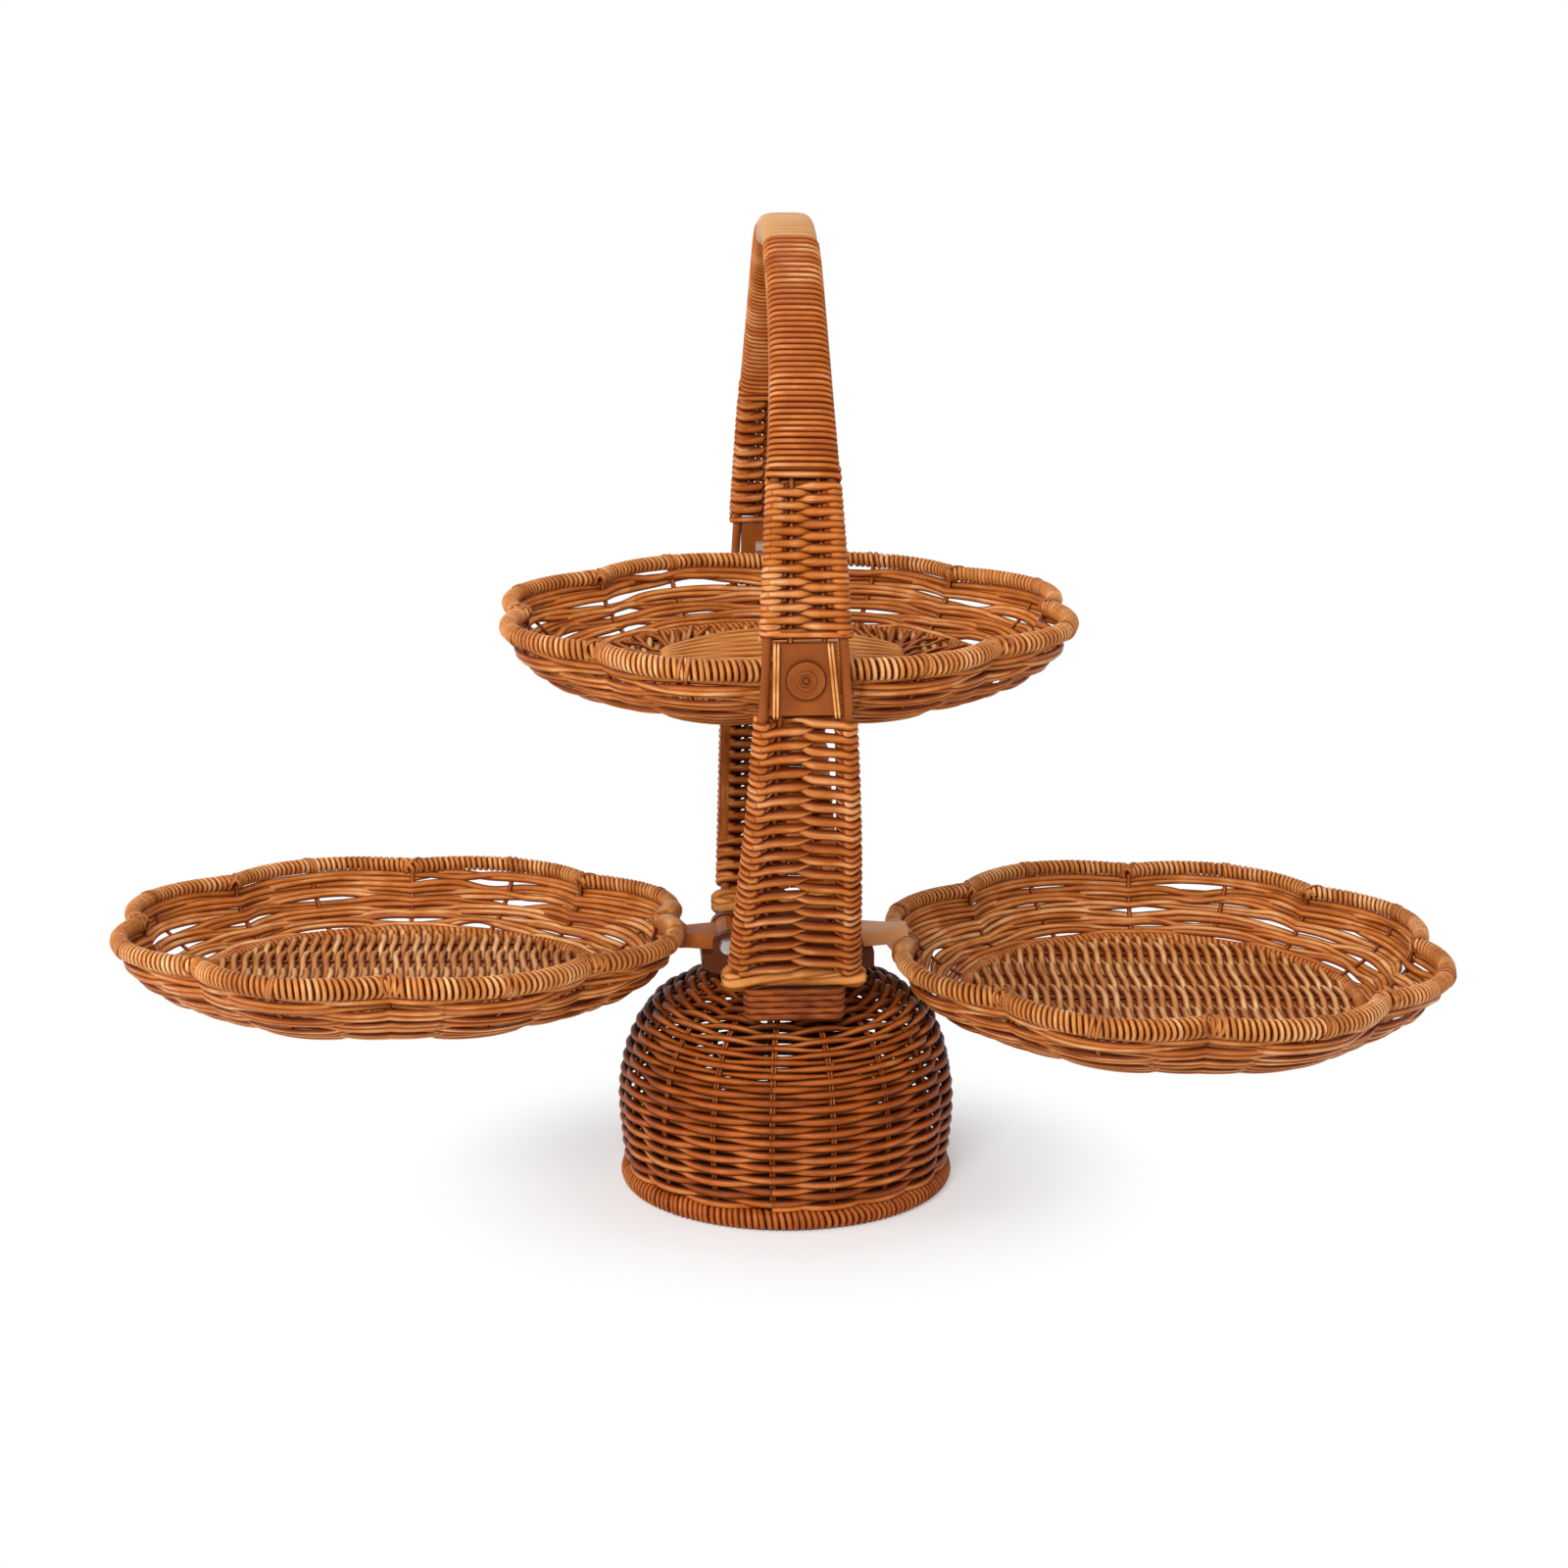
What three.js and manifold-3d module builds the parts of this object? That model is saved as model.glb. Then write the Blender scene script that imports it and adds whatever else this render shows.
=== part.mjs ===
// Fruit basket stand: a woven dome carries a tall wound handle, two folding baskets at its sides
// and one that hangs between the handle's legs.
// Lengths are in millimetres and angles in radians. X runs from the left basket to the right one,
// Y from the front to the rear, Z points up, and the origin is the middle of the foot's underside.
import * as THREE from "three";
import { mergeVertices } from "three/addons/utils/BufferGeometryUtils.js";
import Module from "manifold-3d";

const wasm = await Module();
wasm.setup();

const degrees = Math.PI / 180;
const quarterTurn = Math.PI / 2;

// Gaps between pieces that touch, and how far a cutter passes what it cuts
const clearance = 0.3;
const clasp = 0.5;
const overrun = 4;

// Cane
const strandDiameter = 3;

// Dome pedestal and foot ring
const footRingRadius = 86;
const footRingTube = 6;
const domeBulge = 5;
const domeRadius = footRingRadius + domeBulge;
const domeHeight = 121;
const domeWall = 4;
const stemRadius = 8.7;

// Hinges of the lower baskets
const hingeReach = 33;
const hingeRise = 19;
const hingeHeight = domeHeight + hingeRise;

// A basket
const lobeCount = 8;
const rimValleyRadius = 140.5;
const lobeDepth = 14.5;
const rimTube = 6;
const basketDepth = 36;
const wallThickness = 3.4;
const floorRingTube = 4;
const floorThickness = 4;

// Lower baskets: how far out they stand, and how each has settled on its arm
const armReach = 37;
const basketReach = hingeReach + armReach + rimValleyRadius;
const leftSettle = 10.8;
const rightSettle = -8.5;
const leftPitch = -3 * degrees;
const rightPitch = 0.9 * degrees;
const leftRoll = 0.6 * degrees;
const rightRoll = 1.3 * degrees;

// Handle: the middle line is a circle below the pivots and half an ellipse above them
const pivotRise = 200.5;
const pivotHeight = domeHeight + pivotRise;
const pivotStandoff = 29.5;
const archReach = rimValleyRadius + pivotStandoff;
const archRise = 204;
const legBend = 38 * degrees;
const footHalfWidth = 33;
const gripHalfWidth = 16.4;
const gripStartRise = 99.5;
const gripStartHeight = pivotHeight + gripStartRise;
const windowHeight = 38;
const postWidth = 5;
const postThickness = 6;
const legThickness = 11.2;
const weftWrap = 2.6;
const stickDiameter = 3.5;
const plateThickness = 5;
const plateSetback = 1.35;

// Grip
const coreSetback = 2.2;
const coreTaper = 4.5;
const coreThickness = 8;
const ribbonThickness = 3.2;
const ribbonSideLift = 1;
const ribbonFaceLift = 1;
const ribbonGap = 1.6;
const gripLoops = 24;

// Foot wraps and the hub's tongues
const wrapDepth = 14;
const wrapHeight = 12;
const tongueRise = 11;
const tongueTop = domeHeight + tongueRise;
const tongueThickness = 5;
const tongueWidth = 48;

// Hub, its hinge ears and pins, and the arms
const hubWidth = 48;
const hubDepth = 42;
const hubRise = 26;
const hubTop = domeHeight + hubRise;
const hubFlange = 30;
const flangeThickness = 5;
const knuckleRadius = 7;
const earRadius = 8;
const earThickness = 6;
const pinRadius = 3;
const pinHead = 5;
const pinHeadThickness = 2;
const armThickness = 8;
const armWidth = 30;
const palmWidth = 18;
const palmReach = 12;
const palmDrop = 9.5;
const palmRise = 3;
const palmSetback = 3.4;
const ledgeLength = 14;
const ledgeReach = hingeReach + ledgeLength;

// Clamp inside the dome
const washerMargin = 2.3;
const washerThickness = 3;
const boltRadius = 4;
const boltHead = 8;
const boltHeadThickness = 5;
const boltDepth = 18;

// Pivots of the top basket
const studRadius = 5;
const shoulderRadius = 8;
const lugWidth = 18;
const lugHeight = 20;
const lugReach = 11.5;
const capMargin = 1.5;
const capThickness = 3;

// How finely round pieces are divided
const rimSteps = 48;
const rimSides = 8;
const ringSides = 6;
const ringSteps = 32;
const floorRows = 12;
const domeSteps = 34;
const footSides = 8;
const roundSides = 16;
const discSides = 20;
const lowerLegSteps = 9;
const upperLegSteps = 5;
const coreSteps = 18;
const loopSteps = 12;

const caneFinish = new THREE.MeshStandardMaterial({ color: 0xc4702f, roughness: 0.45, metalness: 0 });
const wovenFinish = new THREE.MeshStandardMaterial({ color: 0xb5612a, roughness: 0.5, metalness: 0 });
const domeFinish = new THREE.MeshStandardMaterial({ color: 0x6e2f18, roughness: 0.5, metalness: 0 });
const floorFinish = new THREE.MeshStandardMaterial({ color: 0xcf8b46, roughness: 0.5, metalness: 0 });
const plasticFinish = new THREE.MeshStandardMaterial({ color: 0x8a5230, roughness: 0.4, metalness: 0 });
const steelFinish = new THREE.MeshStandardMaterial({ color: 0xb9b4ad, roughness: 0.3, metalness: 0.9 });

// Faces of a closed geometry turned to point outwards, with its shared vertices merged.
function closed(geometry) {
  const bare = new THREE.BufferGeometry();
  bare.setAttribute("position", geometry.getAttribute("position").clone());
  if (geometry.index) bare.setIndex(geometry.index.clone());
  const merged = mergeVertices(bare, 1e-4);
  const at = merged.getAttribute("position");
  const index = Array.from(merged.index.array);
  const corner = (k) => new THREE.Vector3().fromBufferAttribute(at, index[k]);
  let volume = 0;
  const kept = [];
  for (let k = 0; k < index.length; k += 3) {
    const distinct = new Set([index[k], index[k + 1], index[k + 2]]).size === 3;
    if (!distinct) continue;
    volume += corner(k).dot(corner(k + 1).cross(corner(k + 2)));
    kept.push(index[k], index[k + 1], index[k + 2]);
  }
  if (volume < 0) {
    for (let k = 0; k < kept.length; k += 3) {
      [kept[k], kept[k + 1]] = [kept[k + 1], kept[k]];
    }
  }
  merged.setIndex(kept);
  return merged;
}

function toSolid(geometry) {
  const ready = closed(geometry);
  return new wasm.Manifold(
    new wasm.Mesh({
      numProp: 3,
      vertProperties: ready.getAttribute("position").array,
      triVerts: new Uint32Array(ready.index.array),
    }),
  );
}

function toGeometry(solid) {
  const mesh = solid.getMesh();
  const geometry = new THREE.BufferGeometry();
  geometry.setAttribute("position", new THREE.BufferAttribute(mesh.vertProperties, 3));
  geometry.setIndex(new THREE.BufferAttribute(mesh.triVerts, 1));
  return geometry;
}

function piece(name, geometry, finish) {
  const lit = closed(geometry);
  lit.computeVertexNormals();
  const mesh = new THREE.Mesh(lit, finish);
  mesh.name = name;
  return mesh;
}

// A closed surface over rows of points. The rows run round in a ring, or their ends are capped.
// A slot goes from a cell of the outside to the cell opposite, which the same row holds in reverse.
function skin(rows, isRing = false, hasSlot = () => false) {
  const across = rows[0].length;
  const points = rows.flat();
  const faces = [];
  const rowPairs = isRing ? rows.length : rows.length - 1;
  for (let i = 0; i < rowPairs; i++) {
    const here = i * across;
    const next = ((i + 1) % rows.length) * across;
    for (let j = 0; j < across; j++) {
      const k = (j + 1) % across;
      if (hasSlot(i, across - 2 - j)) continue;
      if (!hasSlot(i, j)) {
        faces.push(here + j, next + j, next + k, here + j, next + k, here + k);
        continue;
      }
      const outer = [here + j, next + j, next + k, here + k];
      const inner = [here, next, next, here].map((row, m) => row + across - 1 - (m < 2 ? j : k));
      const isSideOpen = [false, hasSlot(i + 1, j), false, hasSlot(i - 1, j)];
      for (let m = 0; m < outer.length; m++) {
        if (isSideOpen[m]) continue;
        const n = (m + 1) % outer.length;
        faces.push(outer[m], outer[n], inner[n], outer[m], inner[n], inner[m]);
      }
    }
  }
  if (!isRing) {
    for (const [row, isFirst] of [[0, true], [rows.length - 1, false]]) {
      const middle = new THREE.Vector3();
      rows[row].forEach((point) => middle.add(point));
      points.push(middle.divideScalar(across));
      const hub = points.length - 1;
      for (let j = 0; j < across; j++) {
        const a = row * across + j;
        const b = row * across + ((j + 1) % across);
        faces.push(hub, isFirst ? a : b, isFirst ? b : a);
      }
    }
  }
  const geometry = new THREE.BufferGeometry().setFromPoints(points);
  geometry.setIndex(faces);
  return closed(geometry);
}

// A flat outline in X and Z, carried along Y from one value to the other.
function alongY(outline, from, to) {
  const geometry = new THREE.ExtrudeGeometry(outline, {
    depth: to - from,
    bevelEnabled: false,
    curveSegments: roundSides / 2,
  });
  return geometry.rotateX(quarterTurn).translate(0, to, 0);
}

// A flat outline in X and Y, carried up from one height to the other.
function upward(outline, from, to) {
  const geometry = new THREE.ExtrudeGeometry(outline, {
    depth: to - from,
    bevelEnabled: false,
    curveSegments: roundSides / 2,
  });
  return geometry.translate(0, 0, from);
}

function disc(radius, from, to) {
  const geometry = new THREE.CylinderGeometry(radius, radius, to - from, discSides);
  return geometry.rotateX(quarterTurn).translate(0, 0, (from + to) / 2);
}

function rodAlongY(radius, x, z, from, to) {
  const geometry = new THREE.CylinderGeometry(radius, radius, to - from, roundSides);
  return geometry.translate(x, (from + to) / 2, z);
}

function polygon(corners) {
  return new THREE.Shape(corners.map(([x, y]) => new THREE.Vector2(x, y)));
}

function box(x, y, z) {
  const geometry = new THREE.BoxGeometry(x[1] - x[0], y[1] - y[0], z[1] - z[0]);
  return geometry.translate((x[0] + x[1]) / 2, (y[0] + y[1]) / 2, (z[0] + z[1]) / 2);
}

function revolved(profile, steps) {
  const points = profile.map(([r, z]) => new THREE.Vector2(r, z));
  return new THREE.LatheGeometry(points, steps).rotateX(quarterTurn);
}

// The scalloped basket rim: 0 in a valley where two lobes meet, 1 at the crown of a lobe.
const lobeFullnessShare = 0.8;
function lobeShare(turn) {
  return Math.abs(Math.sin((turn * lobeCount) / 2)) ** lobeFullnessShare;
}

function rimPoint(turn) {
  const radius = rimValleyRadius + lobeDepth * lobeShare(turn);
  return new THREE.Vector3(radius * Math.cos(turn), radius * Math.sin(turn), 0);
}

function rimTubeGeometry(tube) {
  const step = (2 * Math.PI) / rimSteps;
  const rows = [];
  for (let i = 0; i < rimSteps; i++) {
    const along = rimPoint((i + 1) * step).sub(rimPoint((i - 1) * step)).normalize();
    const outward = new THREE.Vector3(along.y, -along.x, 0);
    const row = [];
    for (let j = 0; j < rimSides; j++) {
      const angle = ((j + 0.5) / rimSides) * 2 * Math.PI;
      const point = rimPoint(i * step).addScaledVector(outward, tube * Math.cos(angle));
      point.z = tube * Math.sin(angle);
      row.push(point);
    }
    rows.push(row);
  }
  return skin(rows, true);
}

// Stations down the outside of the wall: how deep, how wide, and how much of the lobes is left.
// The weave is open in slots below those that say where each lobe's slot begins and ends.
const wallStationShares = [
  { depthShare: 0.164, widthShare: 1, lobeLeftShare: 0.96 },
  { depthShare: 0.372, widthShare: 0.983, lobeLeftShare: 0.85, slotCells: [1, 2, 3, 4] },
  { depthShare: 0.458, widthShare: 0.97, lobeLeftShare: 0.785 },
  { depthShare: 0.672, widthShare: 0.928, lobeLeftShare: 0.54, slotCells: [0, 1, 4, 5] },
  { depthShare: 0.74, widthShare: 0.91, lobeLeftShare: 0.45 },
  { depthShare: 0.944, widthShare: 0.829, lobeLeftShare: 0.08 },
];

function isSlot(i, j) {
  const { slotCells } = wallStationShares[j] ?? {};
  const cell = ((i + rimSteps) % rimSteps) % (rimSteps / lobeCount);
  return slotCells ? slotCells.includes(cell) : false;
}

function wallGeometry() {
  const rows = [];
  for (let i = 0; i < rimSteps; i++) {
    const turn = (i / rimSteps) * 2 * Math.PI;
    const outside = wallStationShares.map(({ depthShare, widthShare, lobeLeftShare }) => {
      const radius = widthShare * rimValleyRadius + lobeLeftShare * lobeDepth * lobeShare(turn);
      return new THREE.Vector2(radius, -depthShare * basketDepth);
    });
    const inside = outside.map((point, k) => {
      const above = outside[Math.max(k - 1, 0)];
      const below = outside[Math.min(k + 1, outside.length - 1)];
      const down = below.clone().sub(above).normalize();
      return new THREE.Vector2(point.x + down.y * wallThickness, point.y - down.x * wallThickness);
    });
    const topEdge = -(rimTube * Math.cos(Math.PI / rimSides) + clearance);
    outside[0].y = topEdge;
    inside[0].y = topEdge;
    const profile = [...outside, ...inside.reverse()];
    rows.push(profile.map((p) => new THREE.Vector3(p.x * Math.cos(turn), p.x * Math.sin(turn), p.y)));
  }
  return skin(rows, true, isSlot);
}

// The floor's ring sits just inside the wall's foot.
const wallLeanShare = 0.54;
function floorRingRadius() {
  const foot = wallStationShares[wallStationShares.length - 1];
  const inside = foot.widthShare * rimValleyRadius - wallLeanShare * wallThickness;
  return inside - 2 * clearance - floorRingTube;
}

// The floor is plaited: its strands rise and dip over its rods, from one row to the next.
const floorStationShares = [-1, -0.68, -0.34, 0, 0.34, 0.68, 1];
const floorThinShare = 0.55;
function floorGeometry(radius, level) {
  const relief = ((1 - floorThinShare) * floorThickness) / 2;
  const rows = [];
  for (let i = 0; i < floorRows; i++) {
    const turn = ((i + 0.5) / floorRows) * Math.PI;
    const half = radius * Math.sin(turn);
    const line = (way) =>
      floorStationShares.map((share, j) => {
        const rise = (way * floorThinShare * floorThickness) / 2 + ((i + j) % 2 ? relief : -relief);
        return new THREE.Vector3(-radius * Math.cos(turn), share * half, level + rise);
      });
    rows.push([...line(1), ...line(-1).reverse()]);
  }
  return skin(rows);
}

function basket(name, place) {
  const group = new THREE.Group();
  const ringHeight = floorRingTube - basketDepth;
  const ringRadius = floorRingRadius();
  const ring = new THREE.TorusGeometry(ringRadius, floorRingTube, ringSides, ringSteps);
  const floorRadius = (ringRadius - floorRingTube) * Math.cos(Math.PI / ringSteps) - clearance;
  group.add(piece(name + "_rim", rimTubeGeometry(rimTube), caneFinish));
  group.add(piece(name + "_wall", wallGeometry(), wovenFinish));
  group.add(piece(name + "_floor_ring", ring.translate(0, 0, ringHeight), caneFinish));
  group.add(piece(name + "_floor", floorGeometry(floorRadius, ringHeight), floorFinish));
  group.applyMatrix4(place);
  return group;
}

function basketPlace(x, z, pitch, roll) {
  const turned = new THREE.Matrix4().makeRotationFromEuler(new THREE.Euler(pitch, roll, 0, "XYZ"));
  return turned.setPosition(x, 0, z);
}

// The dome's outline from the foot ring up: its radius and its height, each as a share.
const domeFlatShare = 0.3;
const domeOutlineShares = [
  [0.968, 0],
  [0.99, 0.18],
  [1, 0.33],
  [0.99, 0.44],
  [0.95, 0.6],
  [0.88, 0.74],
  [0.76, 0.85],
  [0.6, 0.92],
  [0.46, 0.97],
  [domeFlatShare, 1],
];

// The weave of the dome stands out over one stake and goes in behind the next.
const domeReliefShare = 0.92;
const domeRelief = 2;
function pedestal() {
  const group = new THREE.Group();
  const start = 2 * footRingTube + clearance;
  const holeRadius = stemRadius + clearance;
  const outline = (shares, inset) =>
    shares.map(([radiusShare, heightShare]) => [
      radiusShare * domeRadius - inset,
      start + heightShare * (domeHeight - inset - start),
    ]);
  const courseShares = domeOutlineShares.flatMap(([radiusShare, heightShare], k) => {
    const [nextRadiusShare, nextHeightShare] = domeOutlineShares[k + 1] ?? [];
    if (heightShare >= domeReliefShare) return [[radiusShare, heightShare]];
    return [
      [radiusShare, heightShare],
      [(radiusShare + nextRadiusShare) / 2, (heightShare + nextHeightShare) / 2],
    ];
  });
  const inside = outline(domeOutlineShares.filter((_, k) => k % 2 === 1 || k === 0), domeWall);
  const weave = [];
  for (let i = 0; i < domeSteps; i++) {
    const turn = (i / domeSteps) * 2 * Math.PI;
    const outside = outline(courseShares, 0).map(([radius, height], k) => {
      const isUnder = (i + k) % 2 === 1 && k > 0 && courseShares[k][1] < domeReliefShare;
      const level = (height / domeHeight) ** 2;
      return isUnder ? [radius - (1 - level) * domeRelief, height - level * domeRelief] : [radius, height];
    });
    const profile = [
      ...outside,
      [holeRadius, domeHeight],
      [holeRadius, domeHeight - domeWall],
      ...inside.toReversed(),
    ];
    weave.push(profile.map(([r, z]) => new THREE.Vector3(r * Math.cos(turn), r * Math.sin(turn), z)));
  }
  group.add(piece("dome_weave", skin(weave, true), domeFinish));

  const rows = [];
  const flatHeight = footRingTube / Math.cos(Math.PI / footSides);
  for (let i = 0; i < domeSteps; i++) {
    const turn = (i / domeSteps) * 2 * Math.PI;
    const row = [];
    for (let j = 0; j < footSides; j++) {
      const angle = ((j + 0.5) / footSides) * 2 * Math.PI;
      const radius = footRingRadius + flatHeight * Math.cos(angle);
      const height = footRingTube + flatHeight * Math.sin(angle);
      row.push(new THREE.Vector3(radius * Math.cos(turn), radius * Math.sin(turn), height));
    }
    rows.push(row);
  }
  group.add(piece("foot_ring", skin(rows, true), domeFinish));

  const washerTop = domeHeight - domeWall - clearance;
  const washerRadius = domeFlatShare * domeRadius - domeWall - washerMargin;
  const washerUnder = washerTop - washerThickness;
  const washer = toSolid(disc(washerRadius, washerUnder, washerTop)).subtract(
    toSolid(disc(boltRadius + clearance, washerUnder - overrun, washerTop + overrun)),
  );
  group.add(piece("clamp_washer", toGeometry(washer), steelFinish));
  const headTop = washerUnder - clearance;
  const bolt = [
    [0, headTop - boltHeadThickness],
    [boltHead, headTop - boltHeadThickness],
    [boltHead, headTop],
    [boltRadius, headTop],
    [boltRadius, domeHeight - domeWall + boltDepth],
    [0, domeHeight - domeWall + boltDepth],
  ];
  group.add(piece("clamp_bolt", revolved(bolt, roundSides), steelFinish));
  return group;
}

// The hub stands on the dome. Its ears hold the hinge pins, its ledges stop the arms level, and
// its tongues carry the feet of the handle.
function hubGeometry() {
  const base = domeHeight + clearance;
  const side = hubWidth / 2;
  const front = hubDepth / 2;
  const earInside = armWidth / 2 + clearance;
  const tongueReach = footPlace().out + wrapDepth / 2;
  let solid = toSolid(disc(hubFlange, base, base + flangeThickness));
  solid = solid.add(toSolid(disc(stemRadius, domeHeight - domeWall, base + flangeThickness)));
  const chamfer = flangeThickness / 2;
  const body = polygon([
    [-side, base],
    [side, base],
    [side, hubTop - chamfer],
    [side - chamfer, hubTop],
    [chamfer - side, hubTop],
    [-side, hubTop - chamfer],
  ]);
  solid = solid.add(toSolid(alongY(body, -front, front)));
  const tongueUnder = tongueTop - tongueThickness;
  solid = solid.add(
    toSolid(box([-tongueWidth / 2, tongueWidth / 2], [-tongueReach, tongueReach], [tongueUnder, tongueTop])),
  );
  const ledgeTop = hingeHeight - armThickness / 2 - clearance;
  for (const way of [-1, 1]) {
    const hinge = way * hingeReach;
    const ledge = polygon([
      [0, base],
      [way * hubFlange, base],
      [way * ledgeReach, ledgeTop - armThickness],
      [way * ledgeReach, ledgeTop],
      [0, ledgeTop],
    ]);
    solid = solid.add(toSolid(alongY(ledge, -earInside - earThickness, earInside + earThickness)));
    const relief = rodAlongY(knuckleRadius + clearance * 2, hinge, hingeHeight, -earInside, earInside);
    solid = solid.subtract(toSolid(relief));
    for (const end of [-1, 1]) {
      const ear = new THREE.Shape();
      ear.moveTo(way * side * 0.5, ledgeTop);
      ear.lineTo(way * side * 0.5, hingeHeight + earRadius);
      ear.lineTo(hinge, hingeHeight + earRadius);
      ear.absarc(hinge, hingeHeight, earRadius, quarterTurn, way > 0 ? 0 : Math.PI, way > 0);
      ear.lineTo(hinge + way * earRadius, ledgeTop);
      const near = end > 0 ? earInside : -earInside - earThickness;
      solid = solid.add(toSolid(alongY(ear, near, near + earThickness)));
    }
    const reach = earInside + earThickness + overrun;
    solid = solid.subtract(toSolid(rodAlongY(pinRadius + clearance, hinge, hingeHeight, -reach, reach)));
  }
  const boltHole = disc(boltRadius + clearance, domeHeight - domeWall - overrun, base + boltDepth);
  return toGeometry(solid.subtract(toSolid(boltHole)));
}

function hingePinGeometry(way) {
  const end = armWidth / 2 + clearance + earThickness + clearance;
  const profile = [
    [0, -end],
    [pinRadius, -end],
    [pinRadius, end],
    [pinHead, end],
    [pinHead - pinHeadThickness / 2, end + pinHeadThickness],
    [0, end + pinHeadThickness],
  ];
  const pin = new THREE.LatheGeometry(profile.map(([r, y]) => new THREE.Vector2(r, -y)), roundSides);
  return pin.translate(way * hingeReach, 0, hingeHeight);
}

// An arm: a knuckle on the hinge, a bar that narrows outwards, and a palm that clasps the rim's
// inner valley from outside.
function armGeometry(way, place) {
  const valley = new THREE.Vector3(-way * rimValleyRadius, 0, 0).applyMatrix4(place);
  const hinge = way * hingeReach;
  const top = hingeHeight + armThickness / 2;
  const under = hingeHeight - armThickness / 2;
  const rimSide = valley.x - way * palmSetback;
  const palmStart = rimSide - way * palmReach;
  const bar = toSolid(
    alongY(polygon([[hinge, under], [rimSide, under], [rimSide, top], [hinge, top]]), -armWidth, armWidth),
  );
  const low = Math.min(under, valley.z - palmDrop);
  const high = Math.max(top, valley.z + palmRise);
  const palm = polygon([
    [palmStart, under],
    [rimSide - way * palmSetback, low],
    [rimSide, low],
    [rimSide, high],
    [rimSide - way * palmSetback, high],
    [palmStart, top],
  ]);
  const plan = polygon([
    [hinge, -armWidth / 2],
    [palmStart, -palmWidth / 2],
    [rimSide + way * overrun, -palmWidth / 2],
    [rimSide + way * overrun, palmWidth / 2],
    [palmStart, palmWidth / 2],
    [hinge, armWidth / 2],
  ]);
  const lowest = Math.min(low, hingeHeight - knuckleRadius) - overrun;
  const highest = Math.max(high, hingeHeight + knuckleRadius) + overrun;
  let solid = bar.add(toSolid(alongY(palm, -armWidth, armWidth)));
  solid = solid.intersect(toSolid(upward(plan, lowest, highest)));
  const half = armWidth / 2;
  solid = solid.add(toSolid(rodAlongY(knuckleRadius, hinge, hingeHeight, -half, half)));
  solid = solid.subtract(
    toSolid(rodAlongY(pinRadius + clearance, hinge, hingeHeight, -half - overrun, half + overrun)),
  );
  const rim = rimTubeGeometry(rimTube + clasp).applyMatrix4(place);
  return toGeometry(solid.subtract(toSolid(rim)));
}

// Where the handle's middle line runs at a height: how far out from the middle, and which way
// is outwards there.
function archAt(height) {
  const rise = height - pivotHeight;
  if (rise >= 0) {
    const out = archReach * Math.sqrt(1 - (rise / archRise) ** 2);
    const outward = new THREE.Vector2(out / archReach ** 2, rise / archRise ** 2).normalize();
    return { out, up: height, outward };
  }
  const bendDrop = archReach * Math.sin(legBend);
  if (-rise <= bendDrop) {
    const out = Math.sqrt(archReach ** 2 - rise ** 2);
    return { out, up: height, outward: new THREE.Vector2(out, rise).normalize() };
  }
  const out = archReach * Math.cos(legBend) - (-rise - bendDrop) * Math.tan(legBend);
  return { out, up: height, outward: new THREE.Vector2(Math.cos(legBend), -Math.sin(legBend)) };
}

function footPlace() {
  return archAt(tongueTop + clearance + wrapHeight / 2);
}

function legFootHeight() {
  const support = Math.hypot((wrapDepth / 2) * Math.sin(legBend), (wrapHeight / 2) * Math.cos(legBend));
  return footPlace().up + (support + clearance) * Math.cos(legBend);
}

// Half the width over the posts, which narrows steadily from the foot to the grip.
function postEdge(height) {
  const foot = legFootHeight();
  const share = (height - foot) / (gripStartHeight - foot);
  return footHalfWidth + (gripHalfWidth - footHalfWidth) * share;
}

function archSection(side, height, offsets) {
  const { out, up, outward } = archAt(height);
  return offsets.map(
    ([x, away]) => new THREE.Vector3(x, side * (out + away * outward.x), up + away * outward.y),
  );
}

function heights(from, to, steps) {
  return Array.from({ length: steps + 1 }, (_, i) => from + ((to - from) * i) / steps);
}

// The leg's section: full at the posts and hollowed a little between them, as shares of its half
// width and half thickness.
const legSectionShares = [
  [1, 0.45],
  [0.88, 1],
  [0, 0.84],
  [-0.88, 1],
  [-1, 0.45],
  [-1, -0.45],
  [-0.88, -1],
  [0, -0.84],
  [0.88, -1],
  [1, -0.45],
];

function postGeometry(side, way, levels, margin) {
  const rows = levels.map((height) => {
    const outer = postEdge(height) + margin;
    const inner = postEdge(height) - postWidth - margin;
    const half = postThickness / 2 + margin;
    return archSection(side, height, [
      [way * outer, half],
      [way * inner, half],
      [way * inner, -half],
      [way * outer, -half],
    ]);
  });
  return skin(rows);
}

function legGeometry(side, levels) {
  const rows = levels.map((height) =>
    archSection(
      side,
      height,
      legSectionShares.map(([widthShare, thickShare]) => [
        widthShare * (postEdge(height) + weftWrap),
        (thickShare * legThickness) / 2,
      ]),
    ),
  );
  let solid = toSolid(skin(rows));
  const first = levels[0];
  const last = levels[levels.length - 1];
  for (const way of [-1, 1]) {
    const through = [first - overrun, ...levels.slice(1, -1), last + overrun];
    solid = solid.subtract(toSolid(postGeometry(side, way, through, clearance)));
  }
  return toGeometry(solid);
}

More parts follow.
